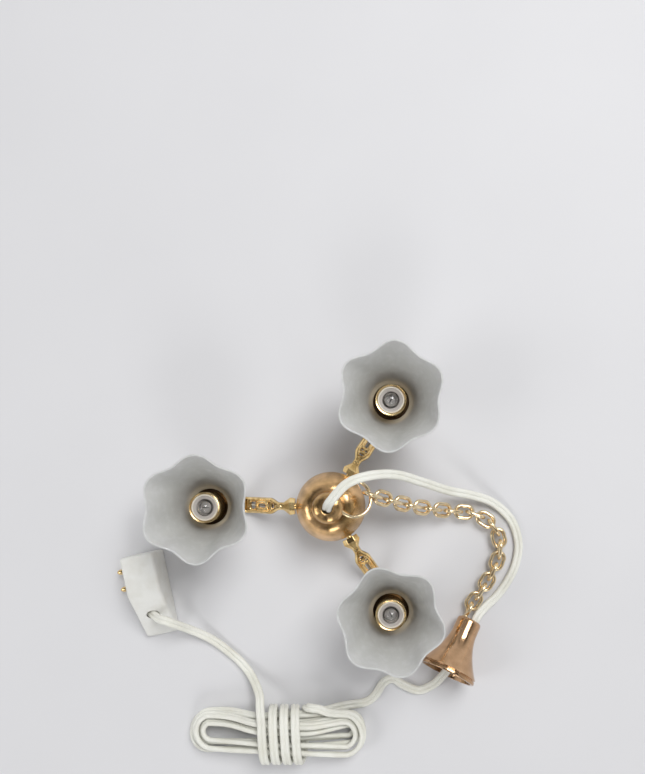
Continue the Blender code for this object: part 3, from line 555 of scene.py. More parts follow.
pad = bpy.context.object
bpy.ops.object.transform_apply(location=True, rotation=True, scale=True)
round_edges(pad, 0.2)
arm = joined("arm_cast", [*strands, pad])
melt = arm.modifiers.new("melt", "REMESH")
melt.mode = "VOXEL"
melt.voxel_size = 0.075 * MM
bpy.ops.object.modifier_apply(modifier=melt.name)
soften = arm.modifiers.new("soften", "SMOOTH")
soften.factor = 0.5
soften.iterations = 4
bpy.ops.object.modifier_apply(modifier=soften.name)
bpy.ops.object.shade_smooth()

bpy.ops.object.select_all(action="DESELECT")
lug_middle = ((LUG_START + LUG_END) / 2 * MM, 0, LUG_Z * MM)
lug_size = ((LUG_END - LUG_START) * MM, LUG_WIDTH * MM, LUG_HEIGHT * MM)
bpy.ops.mesh.primitive_cube_add(size=1, location=lug_middle, scale=lug_size)
lug = bpy.context.object
bpy.ops.object.transform_apply(location=True, rotation=True, scale=True)
bpy.ops.object.mode_set(mode="EDIT")
bpy.ops.mesh.select_all(action="SELECT")
bpy.ops.mesh.bisect(plane_co=(7.3 * MM, 0, 0), plane_no=(1, 0, 0))
for side in (-0.7, 0.7):
    bpy.ops.mesh.select_all(action="SELECT")
    bpy.ops.mesh.bisect(plane_co=(0, side * MM, 0), plane_no=(0, 1, 0))
bpy.ops.object.mode_set(mode="OBJECT")
for corner in lug.data.vertices:
    x, y, z = corner.co / MM
    wide = 0.9 if x < 6.8 else 1.0 if x < 8 else 0.42
    tall = 0.95 if x < 8 else 0.55
    crest = 1.0 if abs(y) < 1 else 0.3
    corner.co = Vector((x, y * wide, LUG_Z + (z - LUG_Z) * tall * crest)) * MM
round_edges(lug, 0.04, 1)
bpy.ops.object.shade_flat()
tenon = tube("tenon", [(LUG_START - 1.1, 0, LUG_Z), (LUG_START + 0.8, 0, LUG_Z)], 0.55)
arm = joined("arm_cast", [arm, lug, tenon])
# The crest value is 1 on the tops and falls to 0 on the undersides, where the arm's material paints shade.
crest = arm.data.attributes.new("crest", "FLOAT", "POINT")
for corner, value in zip(arm.data.vertices, crest.data):
    x, y, z = corner.co / MM
    if x < LUG_END:
        value.value = 1.0 if z > LUG_Z - 0.6 else 0.6
    else:
        _, _, middle = arm_point((x - ARM_ROOT) / (ARM_REACH - ARM_ROOT))
        value.value = ease((z - middle + 0.1) / 0.4)


def copy_of(piece, name, place):
    """A copy with its own mesh, moved by a matrix."""
    made = piece.copy()
    made.data = piece.data.copy()
    made.data.transform(place)
    made.name = name
    bpy.context.scene.collection.objects.link(made)
    return made


hub_turns = [Matrix.Rotation(math.radians(60 + 120 * number), 4, "Z") for number in range(3)]
# Near-black brown for painted shade on the arms' undersides.
painted_underside_shade = (0.10, 0.055, 0.018)
cast_gold = cast_metal("cast_gold", (0.97, 0.73, 0.36), (0.66, 0.43, 0.16), 0.07, underside_shade=painted_underside_shade)
for number, place in enumerate(hub_turns, 1):
    fit(copy_of(arm, f"arm_cast_{number}", place), cast_gold, "gold", "chandelier", f"arm_{number}")
bpy.data.objects.remove(arm)

# Lamp fittings: a pressed cup on each pad carries a drawn brass tube with a rolled mouth, and in the tube
# sits a moulded white holder with a bore for the bulb.
SEAT = 7.3
HOLDER_CORE = 1.96
HOLDER_RIM = 2.06
cup_under = smooth_run([(1.6, 5.7), (2.0, 5.85), (2.6, 6.25), (3.3, 6.45), (3.8, 6.5)], 0.1)
cup_top = [(3.9, 6.6), (3.9, 6.9), (3.8, 7.0), (0.5, 7.0)]
cup = turned_piece("cup_pressed", [(0.5, 5.7), *map(tuple, cup_under), *cup_top, (0.5, 5.7)], 72)
rolled = [(2.58 + 0.06 * math.sin(a), 11.5 + 0.1 * math.cos(a)) for a in np.linspace(2.6, -0.4, 10)]
socket_side = [(2.35, SEAT), (2.6, SEAT), (2.6, 10.5), (2.66, 10.6), (2.66, 10.8), (2.6, 10.9)]
socket_mouth = [*rolled, (2.38, 11.56), (2.35, 11.5), (2.35, SEAT)]
socket = turned_piece("socket_drawn", [*socket_side, *socket_mouth], 72, 0.02)
holder_side = [(POLE, SEAT), (2.05, SEAT), (2.05, 10.6), (2.28, 10.7), (2.28, 11.36), (2.2, 11.44)]
holder_top = [(2.1, 11.44), (2.04, 11.36), (2.02, 11.26), (1.5, 11.22)]
holder_bore = [(1.42, 11.14), (1.42, 8.7), (POLE, 8.7)]
holder = turned_piece("holder_moulded", [*holder_side, *holder_top, *holder_bore], 64, 0.02)


def moulded(name, color, dirt_and_shade, rough, core=None):
    """Moulded plastic: a fine matt skin with a breath of dirt; a core colour fills the radii within 2 mm."""
    made = material(name, Specular_IOR_Level=0.45)
    place = Signal.millimetres()
    skin = Signal.noise(place, 7.0, 3.0)
    flow = Signal.noise(place, 0.35, 4.0)
    dirt = Signal.node("ValToRGB", {"stops": ((0.45, 0.0), (0.85, 1.0))}, {0: flow})
    color = Signal.mix(dirt, color, dirt_and_shade)
    if core:
        turned = Signal.node("Attribute", {"attribute_name": "turned"}, output="Vector")
        radius = Signal.node("SeparateXYZ", None, {0: turned}, "X")
        edge = {"Value": radius, "From Min": HOLDER_CORE, "From Max": HOLDER_RIM}
        rim = Signal.node("MapRange", None, edge)
        color = Signal.mix(rim, core, color)
    feed(
        made,
        height=skin * 0.5 + flow * 0.5,
        depth=0.02,
        Base_Color=color,
        Roughness=rough + 0.15 * flow + 0.08 * skin,
    )
    return made


shaded = (0.40, 0.365, 0.335)
holder_plastic = moulded("holder_plastic", (0.74, 0.69, 0.60), (0.60, 0.54, 0.45), 0.35, core=shaded)
# Painted shade on the cup's top within 3.1 mm, seen down the gap between the shade's floor and the socket
# tube.
cup_gold = turned_metal("cup_plate", (0.88, 0.68, 0.36), (0.74, 0.52, 0.24), 0.14, dirt_and_shade=3.1)
lamps = [turn @ Matrix.Translation((ARM_REACH * MM, 0, 0)) for turn in hub_turns]
for number, place in enumerate(lamps, 1):
    fit(copy_of(cup, f"cup_pressed_{number}", place), cup_gold, "gold", "chandelier", f"cup_{number}")
    drawn = copy_of(socket, f"socket_drawn_{number}", place)
    fit(drawn, gold, "gold", "chandelier", f"socket_tube_{number}")
    mould = copy_of(holder, f"holder_moulded_{number}", place)
    fit(mould, holder_plastic, "white_plastic", "chandelier", f"lamp_holder_{number}")
for piece in (cup, socket, holder):
    bpy.data.objects.remove(piece)

# Shades: blown glass tulips with six soft lobes, acid-frosted inside and out, with a ground rim and a holed
# floor that drops over the socket tube onto the cup.
SHADE_HEIGHT = 10.2
SHADE_TURNS = (26, 31, -13)


def shade_radius(share):
    """The shade's outer radius in millimetres, before its lobes, at a share of its height."""
    return 3.9 + 4.7 * share**1.15 + 0.9 * math.sin(math.pi * share)


rows = np.linspace(0, 1, 26)
shade_outer = [(shade_radius(share), SEAT + SHADE_HEIGHT * share) for share in rows]
shade_wall = [0.75 - 0.4 * ease(2 * share - 1) for share in rows]
shade_inner = [(max(r - wall, 3.16), z) for (r, z), wall in zip(shade_outer[2:], shade_wall[2:])]
shade_floor = [(3.15, SEAT), (3.15, SEAT + 0.6)]
shade_profile = [*shade_floor, *shade_inner, *shade_outer[::-1], shade_floor[0]]
shade = turned_piece("shade_blown", shade_profile, 144, 0.12)
for corner in shade.data.vertices:
    share = (corner.co.z / MM - SEAT) / SHADE_HEIGHT
    angle = math.atan2(corner.co.y, corner.co.x)
    lobe = 0.6 * math.cos(6 * angle) + 0.12 * math.cos(2 * angle + 0.6) + 0.08 * math.cos(5 * angle + 1.1)
    lobe *= ease(share * 1.2 - 0.2)
    reach = corner.co.xy.length / MM
    corner.co.xy *= (reach + lobe) / reach

frosted = material("frosted_glass", Transmission_Weight=0.3, IOR=1.45)
place = Signal.millimetres()
turned = Signal.node("Attribute", {"attribute_name": "turned"}, output="Vector")
height = Signal.node("SeparateXYZ", None, {0: turned}, "Z")
frost = Signal.noise(place, 12.0, 3.0)
cloud = Signal.noise(place, 0.3, 4.0)
rise = Signal.node("MapRange", None, {"Value": height, "From Min": SEAT, "From Max": SEAT + SHADE_HEIGHT})
# Painted light and shade by height: a warm painted glow of the gold cup round the floor's hole, a painted
# shaded ring above it, glass painted lighter towards the rim, and the rim's top painted darker where it
# catches the most light.
painted_light_stops = (
    (0.0, (0.62, 0.54, 0.38)),
    (0.085, (0.55, 0.48, 0.36)),
    (0.16, (0.36, 0.355, 0.34)),
    (0.45, (0.57, 0.575, 0.55)),
    (0.97, (0.75, 0.755, 0.745)),
    (1.0, (0.64, 0.645, 0.64)),
)
painted_light_tone = Signal.node("ValToRGB", {"stops": painted_light_stops}, {0: rise})
bloom = Signal.node("ValToRGB", {"stops": ((0.45, 0.0), (0.75, 0.55))}, {0: Signal.noise(place, 0.9, 5.0)})
clouded = Signal.mix(cloud * 0.4, painted_light_tone, (0.66, 0.66, 0.64))
feed(
    frosted,
    height=frost * 0.6 + cloud * 0.4,
    depth=0.03,
    Base_Color=Signal.mix(bloom * rise, clouded, (0.84, 0.84, 0.85)),
    Roughness=0.5 + 0.15 * frost,
)
for number, (place, turn) in enumerate(zip(lamps, SHADE_TURNS), 1):
    glass = copy_of(shade, f"shade_blown_{number}", place @ Matrix.Rotation(math.radians(turn), 4, "Z"))
    fit(glass, frosted, "frosted_glass", "chandelier", f"shade_{number}")
bpy.data.objects.remove(shade)

# Bulbs: a clear glass envelope with a drawn tip on a pale glass bead, and in it two posts with a filament.
# Each pulls straight up out of its holder.
COIL_TURNS = 12
COIL_RADIUS = 0.09
COIL_Z = 11.25
envelope_outer = [(1.25, 9.9), (1.25, 11.2), *quarter(0.12, 1.25, 12.4, 11.2, 16)[::-1]]
envelope_inner = quarter(0.1, 1.11, 12.22, 11.2, 16)
envelope = [*envelope_outer, (POLE, 12.42), (POLE, 12.22), *envelope_inner, (1.11, 9.9), (1.25, 9.9)]
glass_envelope = turned_piece("envelope", envelope, 56, 0)
base_top = [(1.22, 9.85), (1.1, 9.95), (0.5, 10.05), (POLE, 10.1)]
base_side = [(POLE, 9.0), (1.0, 9.0), (1.2, 9.2), (1.2, 9.4), (1.12, 9.5)]
base = turned_piece("bulb_base", [*base_side, *base_top], 48, 0.03)
posts = [tube("post", [(x, 0, 10.0), (x, 0, 10.9), (x * 0.9, 0, COIL_Z)], 0.05) for x in (-0.42, 0.42)]
coil = []
for share in np.linspace(0, 1, 140):
    angle = share * 2 * math.pi * COIL_TURNS
    x = -0.38 + 0.76 * share
    z = COIL_Z + 0.12 * math.sin(math.pi * share) + COIL_RADIUS * math.sin(angle)
    coil.append((x, COIL_RADIUS * math.cos(angle), z))
filament = joined("filament", [*posts, tube("coil", coil, 0.025, resolution=2)])
bulb_glass = material("bulb_glass", Transmission_Weight=1.0, IOR=1.46)
haze = Signal.noise(Signal.millimetres(), 1.5, 2.0)
clear = Signal.mix(haze, (0.95, 0.95, 0.95), (0.99, 0.99, 0.99))
feed(bulb_glass, Roughness=0.01 + 0.05 * haze, Base_Color=clear)
bead = moulded("glass_bead", (0.66, 0.62, 0.59), (0.50, 0.47, 0.44), 0.12)
tungsten = cast_metal("tungsten", (0.30, 0.29, 0.28), (0.16, 0.15, 0.15), 0.3)
for number, place in enumerate(lamps, 1):
    body = f"bulb_{number}"
    blown = copy_of(glass_envelope, f"bulb_envelope_{number}", place)
    fit(blown, bulb_glass, "bulb_glass", body, f"bulb_{number}")
    fit(copy_of(base, f"bulb_base_{number}", place), bead, "bulb_glass", body)
    fit(copy_of(filament, f"bulb_filament_{number}", place), tungsten, "gold", body)
for piece in (glass_envelope, base, filament):
    bpy.data.objects.remove(piece)

# Bulb leads: thin white wires that drop from the holders, run under the arms between their rails, and enter
# the bowl beneath the lugs. The sleeved splice in the bowl, out of sight, keeps its CAD shape.
LEAD_Z = 4.716
lead_points = [(ARM_REACH, 0, 7.0), (ARM_REACH, 0, 4.3)]
for share in np.linspace(0.9, 0.24, 8):
    lead_points.append(arm_point(share, 0, -RAIL * (0.55 + 1.45 * ease((0.45 - share) / 0.2))))
lead_points += [(LUG_END, 0, LUG_Z - 1.6), (LUG_START, 0, LEAD_Z), (2.7, 0, LEAD_Z)]
lead = tube("lead", smooth_run(lead_points, 0.4), 0.2)


def flex_skin(name):
    """Soft white PVC: slightly waxy and yellowed, with a faint drawn grain and dusty patches."""
    made = material(name, Specular_IOR_Level=0.4)
    place = Signal.millimetres()
    grain = Signal.noise(place, 4.0, 3.0)
    cloud = Signal.noise(place, 0.25, 4.0)
    dust = Signal.node("ValToRGB", {"stops": ((0.42, 0.0), (0.8, 1.0))}, {0: cloud})
    feed(
        made,
        height=grain,
        depth=0.015,
        Base_Color=Signal.mix(dust, (0.75, 0.75, 0.69), (0.64, 0.63, 0.55)),
        Roughness=0.38 + 0.2 * cloud,
    )
    return made


pvc = flex_skin("flex_pvc")
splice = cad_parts["wire_splice"]
splice.data.materials.clear()
splice.data.materials.append(pvc)
for number, place in enumerate(hub_turns, 1):
    fit(copy_of(lead, f"lead_wire_{number}", place), pvc, "flex_pvc", "chandelier", f"bulb_lead_{number}")
bpy.data.objects.remove(lead)

# Chain: twenty oval links of brass wire, closed end to end, each turned a quarter from the one before it.
# It hangs from the ring, comes down to the table and bends round to the rose.
LINK_COUNT = 20
LINK_WIRE = 0.35
LINK_PITCH = 2.15
LINK_HALF = 0.55
LINK_BEND = 1.1
LINK_STEPS = 48
LIE = 1.5
first_pin = RING_PLACE @ (Vector((2 * RING_RADIUS - RING_WIRE - 0.15, 0, 0.09)) * MM) / MM
chain_points = [
    first_pin,
    (12.2, 0.6, 7.6),
    (17.2, -0.5, 4.2),
    (22.1, -1.1, 2.0),
    (25.9, -1.6, LIE),
    (29.4, -3.8, LIE),
    (30.7, -7.8, LIE),
    (29.4, -12.0, LIE),
    (26.6, -16.6, LIE),
    (23.0, -21.8, LIE),
    (20.6, -28.1, LIE),
]
chain_run = smooth_run(chain_points, 0.05)
pins = [Vector(chain_run[0])]
for point in chain_run:
    if len(pins) <= LINK_COUNT and (Vector(point) - pins[-1]).length >= LINK_PITCH:
        pins.append(pins[-1] + (Vector(point) - pins[-1]).normalized() * LINK_PITCH)

bpy.ops.object.select_all(action="DESELECT")
bpy.ops.mesh.primitive_torus_add(
    major_radius=LINK_BEND * MM, minor_radius=LINK_WIRE * MM, major_segments=LINK_STEPS, minor_segments=16
)
link = bpy.context.object
link.rotation_euler.z = math.pi / LINK_STEPS
bpy.ops.object.transform_apply(location=True, rotation=True, scale=True)
near, far = LINK_BEND - LINK_HALF, LINK_PITCH + LINK_HALF - LINK_BEND
for corner in link.data.vertices:
    corner.co.x += (far if corner.co.x > 0 else near) * MM
round_edges(link, 0)
for number, (start, end) in enumerate(zip(pins, pins[1:]), 1):
    along = (end - start).normalized()
    side = Vector((0, 0, 1)).cross(along).normalized()
    if number % 2:
        side = along.cross(side)
    axes = Matrix((along, side, along.cross(side))).transposed().to_4x4()
    oval = copy_of(link, f"link_oval_{number:02d}", Matrix.Translation(start * MM) @ axes)
    fit(oval, wire_gold, "gold", f"link_{number:02d}", f"chain_link_{number:02d}")
bpy.data.objects.remove(link)

# Ceiling rose: a bell turned in the hub's brass and plated in redder copper, lying on its lip. Its nose is
# bored for the flex and takes the shank of a wire eye that holds the last link.
ROSE_RADIUS = 5.2
EYE_RADIUS = 1.15
EYE_WIRE = 0.35
EYE_Z = LINK_HALF - EYE_RADIUS
NOSE_TOP = -2.4
FLARE_TOP = -4.7
LIP_TOP = -12.0
MOUTH = -12.9
BORE_X = -1.0
FLEX_HOLE = 0.95
HOLE_DEPTH = 4
heading = math.radians(63)
lean = math.atan2(ROSE_RADIUS, -LIP_TOP) + math.asin((0.05 - pins[-1].z) / math.hypot(ROSE_RADIUS, LIP_TOP))
rose_axis = Vector((math.cos(heading) * math.cos(lean), math.sin(heading) * math.cos(lean), -math.sin(lean)))
rose_left = Vector((-math.sin(heading), math.cos(heading), 0))
rose_axes = Matrix((rose_left, rose_axis.cross(rose_left), rose_axis)).transposed().to_4x4()
eye_place = Matrix.Translation(pins[-1] * MM) @ rose_axes
rose_place = eye_place @ Matrix.Translation((-1.0 * MM, 0, 0))

nose = smooth_run([(1.75, NOSE_TOP), (2.1, -2.55), (2.25, -2.95), (2.25, -3.9), (2.27, FLARE_TOP)], 0.12)
bell_shares = np.linspace(0, 1, 30)
bell = [(2.25 + 2.95 * share**1.8, FLARE_TOP + (LIP_TOP - FLARE_TOP) * share) for share in bell_shares]
bell_inside = [(radius - 0.6, height - 0.1) for radius, height in bell[::-1]]
lip_groove = [(ROSE_RADIUS, -12.05), (5.02, -12.18), (5.02, -12.28), (ROSE_RADIUS, -12.4)]
lip = [*lip_groove, (ROSE_RADIUS, -12.82), (5.12, MOUTH), (4.62, MOUTH)]
rose_profile = [(POLE, NOSE_TOP), *map(tuple, nose), *bell[1:], *lip, *bell_inside, (POLE, FLARE_TOP - 0.1)]
copper = turned_metal("copper_plate", (0.74, 0.48, 0.29), (0.50, 0.31, 0.17), 0.06)
rose = turned_piece("rose_bell_turned", rose_profile, 112, 0.05)
bpy.ops.object.select_all(action="DESELECT")
bore_middle = (BORE_X * MM, 0, (NOSE_TOP + FLARE_TOP) / 2 * MM)
hole = {"vertices": 40, "radius": FLEX_HOLE * MM, "depth": HOLE_DEPTH * MM}
bpy.ops.mesh.primitive_cylinder_add(location=bore_middle, **hole)
bore = bpy.context.object
bpy.ops.object.transform_apply(location=True, rotation=True, scale=True)
cut_out(rose, bore)
rose.data.transform(rose_place)
fit(rose, copper, "rose_gold", "rose", "ceiling_rose")
eye = ring_of_wire("eye_ring", EYE_RADIUS, EYE_WIRE, cut=0, steps=72)
eye.data.transform(Matrix.Translation((0, 0, EYE_Z * MM)) @ Matrix.Rotation(math.pi / 2, 4, "Y"))
shank = tube("eye_shank", [(0, 0, NOSE_TOP - 1.3), (0, 0, NOSE_TOP), (0, 0, EYE_Z - EYE_RADIUS)], EYE_WIRE)
collar_bore = EYE_WIRE + 0.02
collar = [(collar_bore, NOSE_TOP), (0.75, NOSE_TOP), (0.7, NOSE_TOP + 0.2), (collar_bore, NOSE_TOP + 0.28)]
eye = joined("rose_eye_wire", [eye, shank, turned_piece("eye_collar", [*collar, collar[0]], 32, 0.03)])
eye.data.transform(eye_place)
fit(eye, wire_gold, "gold", "rose", "rose_eye")

# Plug: a moulded white block whose top slopes down at the cable end, with a round cable hole in the slope,
# and two turned brass pins low on one side.
PLUG_WIDTH = 6.0
PLUG_LENGTH = 15.4
PLUG_HEIGHT = 6.4
PLUG_SLOPE = 8.4
PLUG_TOE = 1.1
PIN_MIDDLE = -3.5
PIN_APART = 1.6
PIN_Z = 1.7
plug_turn = Matrix.Rotation(math.radians(-78) - math.pi / 2, 4, "Z")
plug_place = Matrix.Translation((-33.2 * MM, -16.3 * MM, 0.05 * MM)) @ plug_turn
slope_middle = Vector((0, (PLUG_LENGTH - PLUG_SLOPE) / 2, (PLUG_HEIGHT + PLUG_TOE) / 2))
slope_normal = Vector((0, PLUG_HEIGHT - PLUG_TOE, PLUG_SLOPE)).normalized()
cable_axis = (slope_normal - Vector((0.8, 0, 0))).normalized()
bpy.ops.object.select_all(action="DESELECT")
plug_size = (PLUG_WIDTH * MM, PLUG_LENGTH * MM, PLUG_HEIGHT * MM)
bpy.ops.mesh.primitive_cube_add(size=1, location=(0, 0, PLUG_HEIGHT / 2 * MM), scale=plug_size)
plug = bpy.context.object
plug.name = "plug_moulded"
bpy.ops.object.transform_apply(location=True, rotation=True, scale=True)
bpy.ops.object.mode_set(mode="EDIT")
bpy.ops.mesh.select_all(action="SELECT")
bpy.ops.mesh.bisect(plane_co=slope_middle * MM, plane_no=slope_normal, use_fill=True, clear_outer=True)
bpy.ops.object.mode_set(mode="OBJECT")
round_edges(plug, 0.5, 5)
bpy.ops.object.select_all(action="DESELECT")
bpy.ops.mesh.primitive_cylinder_add(location=slope_middle * MM, **hole)
cable_hole = bpy.context.object
cable_hole.rotation_euler = cable_axis.to_track_quat("Z", "Y").to_euler()
bpy.ops.object.transform_apply(location=True, rotation=True, scale=True)
cut_out(plug, cable_hole)
plug.data.transform(plug_place)
white_plastic = moulded("white_plastic", (0.72, 0.72, 0.69), (0.63, 0.62, 0.57), 0.3)
fit(plug, white_plastic, "white_plastic", "rose", "plug_body")
pin_tip = [(POLE, -2.6), (0.2, -2.57), (0.42, -2.3), (0.5, -2.1)]
pin_shank = [(0.5, -0.6), (0.44, -0.5), (0.44, -0.3), (0.5, -0.2), (0.5, 1.2), (POLE, 1.2)]
for name, side in (("left", -1), ("right", 1)):
    pin = turned_piece(f"plug_pin_turned_{name}", [*pin_tip, *pin_shank], 32, 0.02)
    seat = Matrix.Translation((PLUG_WIDTH / 2 * MM, (PIN_MIDDLE + side * PIN_APART) * MM, PIN_Z * MM))
    pin.data.transform(plug_place @ seat @ Matrix.Rotation(-math.pi / 2, 4, "Y"))
    fit(pin, gold, "gold", "rose", f"plug_pin_{name}")

# Flex from hub to rose: flat white twin flex, two cores side by side with a groove between them. It leaves
# the boss, falls beside the chain and enters the rose, in short lengths split at the chain's links: the end
# lengths ride the hub and the rose, and those between are attached to no body.
FLEX_TABLE = 0.65
CORE = 0.44
CORE_APART = 0.36
FLEX_DROP = 0.16
HUB_STEP = 0.2
SMOOTHED = 9


def in_rose(x, y, z):
    """A point in the rose's own frame, lifted where the flex would sink into the table."""
    point = rose_place @ (Vector((x, y, z)) * MM) / MM
    return (point.x, point.y, max(point.z, FLEX_TABLE))


def flat_sides(run, wound=()):
    """Which way the flex's broad side faces along a run: level, or along the hank where it binds it."""
    ahead = np.gradient(run, axis=0)
    ahead /= np.linalg.norm(ahead, axis=1)[:, None]
    sides = np.cross((0, 0, 1), ahead)
    size = np.linalg.norm(sides, axis=1)
    level = np.flatnonzero(size > 0.3)
    nearest = level[np.abs(np.arange(len(run))[:, None] - level[None]).argmin(axis=1)]
    sides = (sides / np.maximum(size, 1e-9)[:, None])[nearest]
    if len(wound):
        sides[wound] = (-1, 0, 0)
    padded = np.vstack([sides[:1]] * SMOOTHED + [sides] + [sides[-1:]] * SMOOTHED)
    sides = np.stack([np.convolve(axis, np.ones(2 * SMOOTHED + 1), "valid") for axis in padded.T], axis=1)
    sides -= ahead * (sides * ahead).sum(axis=1)[:, None]
    sides /= np.linalg.norm(sides, axis=1)[:, None]
    return sides, np.cross(ahead, sides)


def flat_flex(name, run, sides, ups):
    """Sweeps the twin section along a run and closes both ends."""
    groove = math.acos(-CORE_APART / CORE)
    arc = np.linspace(-groove, groove, 12)[:-1]
    across = np.r_[CORE_APART + CORE * np.cos(arc), -CORE_APART - CORE * np.cos(arc)]
    upward = np.r_[CORE * np.sin(arc), -CORE * np.sin(arc)]
    count = len(across)
    rings = run[:, None] + across[None, :, None] * sides[:, None] + upward[None, :, None] * ups[:, None]
    faces = []
    for ring in range(len(run) - 1):
        for corner in range(count):
            after = (corner + 1) % count
            below, above = ring * count, (ring + 1) * count
            faces.append((below + corner, below + after, above + after, above + corner))
    faces.append(tuple(range(count))[::-1])
    faces.append(tuple(range((len(run) - 1) * count, len(run) * count)))
    mesh = bpy.data.meshes.new(name)
    mesh.from_pydata((rings.reshape(-1, 3) * MM).tolist(), [], faces)
    piece = bpy.data.objects.new(name, mesh)
    bpy.context.scene.collection.objects.link(piece)
    round_edges(piece, 0)
    return piece


def flex_run(points, step=0.35):
    """The centre line of free flex, which lies on the table and never under it."""
    run = smooth_run(points, step)
    heights = np.pad(np.maximum(run[:, 2], FLEX_TABLE), SMOOTHED // 2, mode="edge")
    run[:, 2] = np.convolve(heights, np.ones(SMOOTHED) / SMOOTHED, "valid") - FLEX_DROP
    return run


def nearest(run, point):
    """The number of the run's point that is nearest to another point."""
    return int(np.linalg.norm(run - np.array(point), axis=1).argmin())


hub_points = [
    (0, 0, 2.4),
    (0, 0, 7.6),
    (0, 0, 12.6),
    (0, 0, 15.3),
    (0.8, 1.3, 17.2),
    (3.6, 4.2, 18.0),
    (7.4, 5.5, 16.6),
    (11.6, 5.6, 13.6),
    (16.1, 4.3, 9.7),
    (20.7, 2.8, 6.1),
    (25.5, 1.8, 3.0),
    (29.6, 0.3, 1.1),
    (32.9, -2.9, FLEX_TABLE),
    (34.2, -7.2, FLEX_TABLE),
    (33.6, -11.2, FLEX_TABLE),
    (32.1, -14.3, FLEX_TABLE),
    in_rose(BORE_X - 1.7, -0.4, NOSE_TOP + 6.4),
    in_rose(BORE_X - 0.6, -0.1, NOSE_TOP + 3.3),
    in_rose(BORE_X, 0, NOSE_TOP + 1.0),
    in_rose(BORE_X, 0, FLARE_TOP - 0.6),
]
hub_run = flex_run(hub_points, HUB_STEP)
hub_sides, hub_ups = flat_sides(hub_run)
chain_bodies = ["chandelier", "ring", *[f"link_{number:02d}" for number in range(1, LINK_COUNT + 1)], "rose"]
leaves = int(np.argmax(hub_run[:, 2] > BOSS_TOP))
enters = nearest(hub_run, np.array(rose_place @ Vector((BORE_X * MM, 0, NOSE_TOP * MM))) / MM)
abreast = [leaves]
for pivot in (RING_PLACE.translation / MM, *pins):
    apart = np.linalg.norm(hub_run[:, :2] - np.array(pivot.xy), axis=1)
    apart[: abreast[-1] + 4] = np.inf
    abreast.append(int(apart.argmin()))
cuts = [leaves, *[(near + far) // 2 for near, far in zip(abreast[1:], abreast[2:])], enters]
stretches = [("chandelier", "chandelier", 0, leaves)]
stretches += [(a, b, start, end) for a, b, start, end in zip(chain_bodies, chain_bodies[1:], cuts, cuts[1:])]
stretches.append(("rose", "rose", enters, len(hub_run) - 1))
for number, (near_body, far_body, start, end) in enumerate(stretches):
    part = slice(start, end + 1)
    stretch = flat_flex(f"hub_flex_{number:02d}", hub_run[part], hub_sides[part], hub_ups[part])
    stretch.data.materials.append(pvc)
    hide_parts("flex_hub_to_rose")
    if near_body == far_body:
        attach(stretch, near_body)
    else:
        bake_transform(stretch)

# Free flex: the same flat twin flex from the rose's mouth, wound into a hank that its own end binds, and on
# to the plug. It is one length, limp, and lies on the table.
HANK_X = -10.2
HANK_Y = -41.5
HANK_STRAIGHT = 12.5
HANK_FOLD = 4.0
HANK_STEP = 1.4
HANK_LAYER = 1.85
HANK_LOOPS = 4
HANK_START = 0.155
HANK_BEND = 0.3
HANK_LIFT = 1.5
HANK_DRAW = 0.6
HANK_CLIMB = 0.5
HANK_SHORTEN = 0.04
HANK_SKEW = math.radians(2)
LOOP_POINTS = 24
BIND_TURNS = 3.75
BIND_POINTS = 16
BIND_STEP = 2.0
BIND_START = 5.4
BIND_WIDE = 4.8
BIND_TALL = 3.0
HANK_WAIST = BIND_START - BIND_STEP * BIND_TURNS / 2
ON_EDGE = 68
EDGE_SWAY = 16
EDGE_STEPS = 20


def lifted(x):
    """How far the loops are lifted and drawn in at x, from 0 at the folds to 1 at the waist."""
    return ease(HANK_LIFT * (1 - abs(x - HANK_WAIST) / HANK_STRAIGHT))


middle = BIND_TALL + FLEX_TABLE
low = FLEX_TABLE + HANK_LAYER / 2
hank = []
for count in range(HANK_LOOPS * LOOP_POINTS + 1):
    turns = count / LOOP_POINTS
    fold = HANK_FOLD - HANK_STEP * min(turns, HANK_LOOPS - turns)
    around = (turns + HANK_START) % 1
    if abs(around - 0.5) > 0.5 - HANK_BEND / 2:
        angle = math.pi * ((around + 0.5) % 1 - 0.5) / HANK_BEND
        x, y = HANK_STRAIGHT + fold * math.cos(angle), fold * math.sin(angle)
    elif abs(around - 0.5) < HANK_BEND / 2:
        angle = math.pi * (1 + (around - 0.5) / HANK_BEND)
        x, y = -HANK_STRAIGHT + fold * math.cos(angle), fold * math.sin(angle)
    else:
        side = 1 if around < 0.5 else -1
        x = side * HANK_STRAIGHT * (1 - 2 * (around % 0.5 - HANK_BEND / 2) / (0.5 - HANK_BEND))
        y = side * fold
    y -= math.copysign(HANK_DRAW * lifted(x), y)
    climbed = ease((turns - HANK_LOOPS / 2 + HANK_CLIMB / 2) / HANK_CLIMB)
    height = low + (middle - low) * lifted(x) + (climbed - 0.5) * HANK_LAYER
    x *= 1 - HANK_SHORTEN * climbed
    hank.append((x, y + x * math.tan(HANK_SKEW * (1 - 2 * climbed)), height))
last_x, last_y, _ = hank[-1]
for share in (0.3, 0.6, 0.85):
    x = last_x + (BIND_START - last_x) * share
    y = last_y + (BIND_WIDE - last_y) * ease(share * 1.3)
    hank.append((x, y, low + (middle - low) * lifted(x) + HANK_LAYER / 2 * (1 - ease(2 * share - 1))))
for count in range(round(BIND_TURNS * BIND_POINTS) + 1):
    turns = count / BIND_POINTS
    across, up = math.cos(2 * math.pi * turns), -math.sin(2 * math.pi * turns)
    size = (abs(across) ** 3 + abs(up) ** 3) ** (-1 / 3)
    hank.append((BIND_START - BIND_STEP * turns, BIND_WIDE * across * size, middle + BIND_TALL * up * size))
hank = [Vector((HANK_X + x, HANK_Y + y, z)) for x, y, z in hank]
tied = hank[-1]
hank_ends = [tied + Vector((-0.2, 2.6, -0.3)), tied + Vector((-0.7, 5.1, -1.9))]
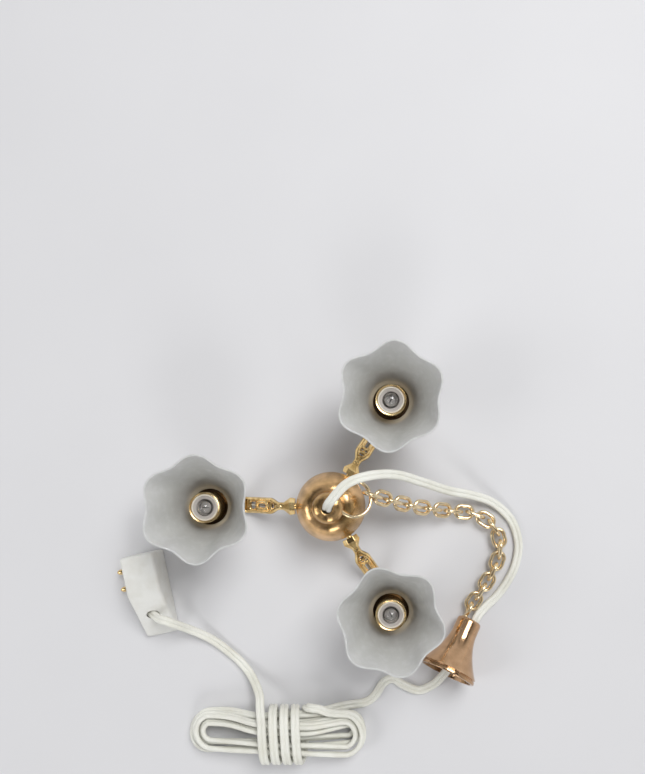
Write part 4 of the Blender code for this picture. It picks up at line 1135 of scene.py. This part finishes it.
into_hank = (hank[1] - hank[0]).normalized()
out_of_hank = (hank_ends[1] - hank_ends[0]).normalized()


def in_plug(outward, x=0.0, z=0.0):
    """A point near the cable hole's axis, so far out of the slope."""
    return plug_place @ ((slope_middle + cable_axis * outward + Vector((x, 0, z))) * MM) / MM


tail_points = [
    in_rose(BORE_X, 0, FLARE_TOP - 1.0),
    in_rose(BORE_X + 0.1, -0.4, FLARE_TOP - 2.9),
    in_rose(BORE_X + 0.5, -2.2, MOUTH + 1.5),
    in_rose(BORE_X + 0.9, -3.4, MOUTH - 0.7),
    (18.5, -33.2, FLEX_TABLE),
    (15.8, -34.4, FLEX_TABLE),
    (13.0, -33.5, FLEX_TABLE),
    (10.9, -32.3, FLEX_TABLE),
    (9.1, -33.1, FLEX_TABLE),
    (7.7, -35.2, FLEX_TABLE),
    hank[0] - into_hank * 4.3,
    *hank,
    *hank_ends,
    hank_ends[1] + out_of_hank * 2.6,
    (-15.3, -31.4, 1.3),
    (-17.4, -29.1, FLEX_TABLE),
    (-19.6, -27.2, FLEX_TABLE),
    (-22.6, -24.9, 1.0),
    (-26.0, -22.8, 2.6),
    in_plug(4.2, -0.6, -0.6),
    in_plug(1.8),
    in_plug(-1.9),
]
tail_run = flex_run(tail_points)
last_loop = HANK_LOOPS * LOOP_POINTS
bound = np.arange(nearest(tail_run, hank[last_loop + 4]), nearest(tail_run, hank[-1]))
tail_sides, tail_ups = flat_sides(tail_run, bound)
steps = np.arange(len(tail_run))
since = steps - nearest(tail_run, hank[0])
until = nearest(tail_run, hank[last_loop]) - steps
in_loops = np.clip(since / EDGE_STEPS, 0, 1) * np.clip(until / EDGE_STEPS, 0, 1)
tilt = in_loops * np.radians(ON_EDGE + EDGE_SWAY * np.sin(steps * 0.11))
cosine, sine = np.cos(tilt)[:, None], np.sin(tilt)[:, None]
tail_sides, tail_ups = cosine * tail_sides + sine * tail_ups, cosine * tail_ups - sine * tail_sides
tail_run[:, 2] += CORE_APART * np.abs(tail_sides[:, 2])
tail = flat_flex("free_flex", tail_run, tail_sides, tail_ups)
fit(tail, pvc, "flex_pvc", "rose", "flex_rose_to_hank", "flex_hank", "flex_hank_to_plug")
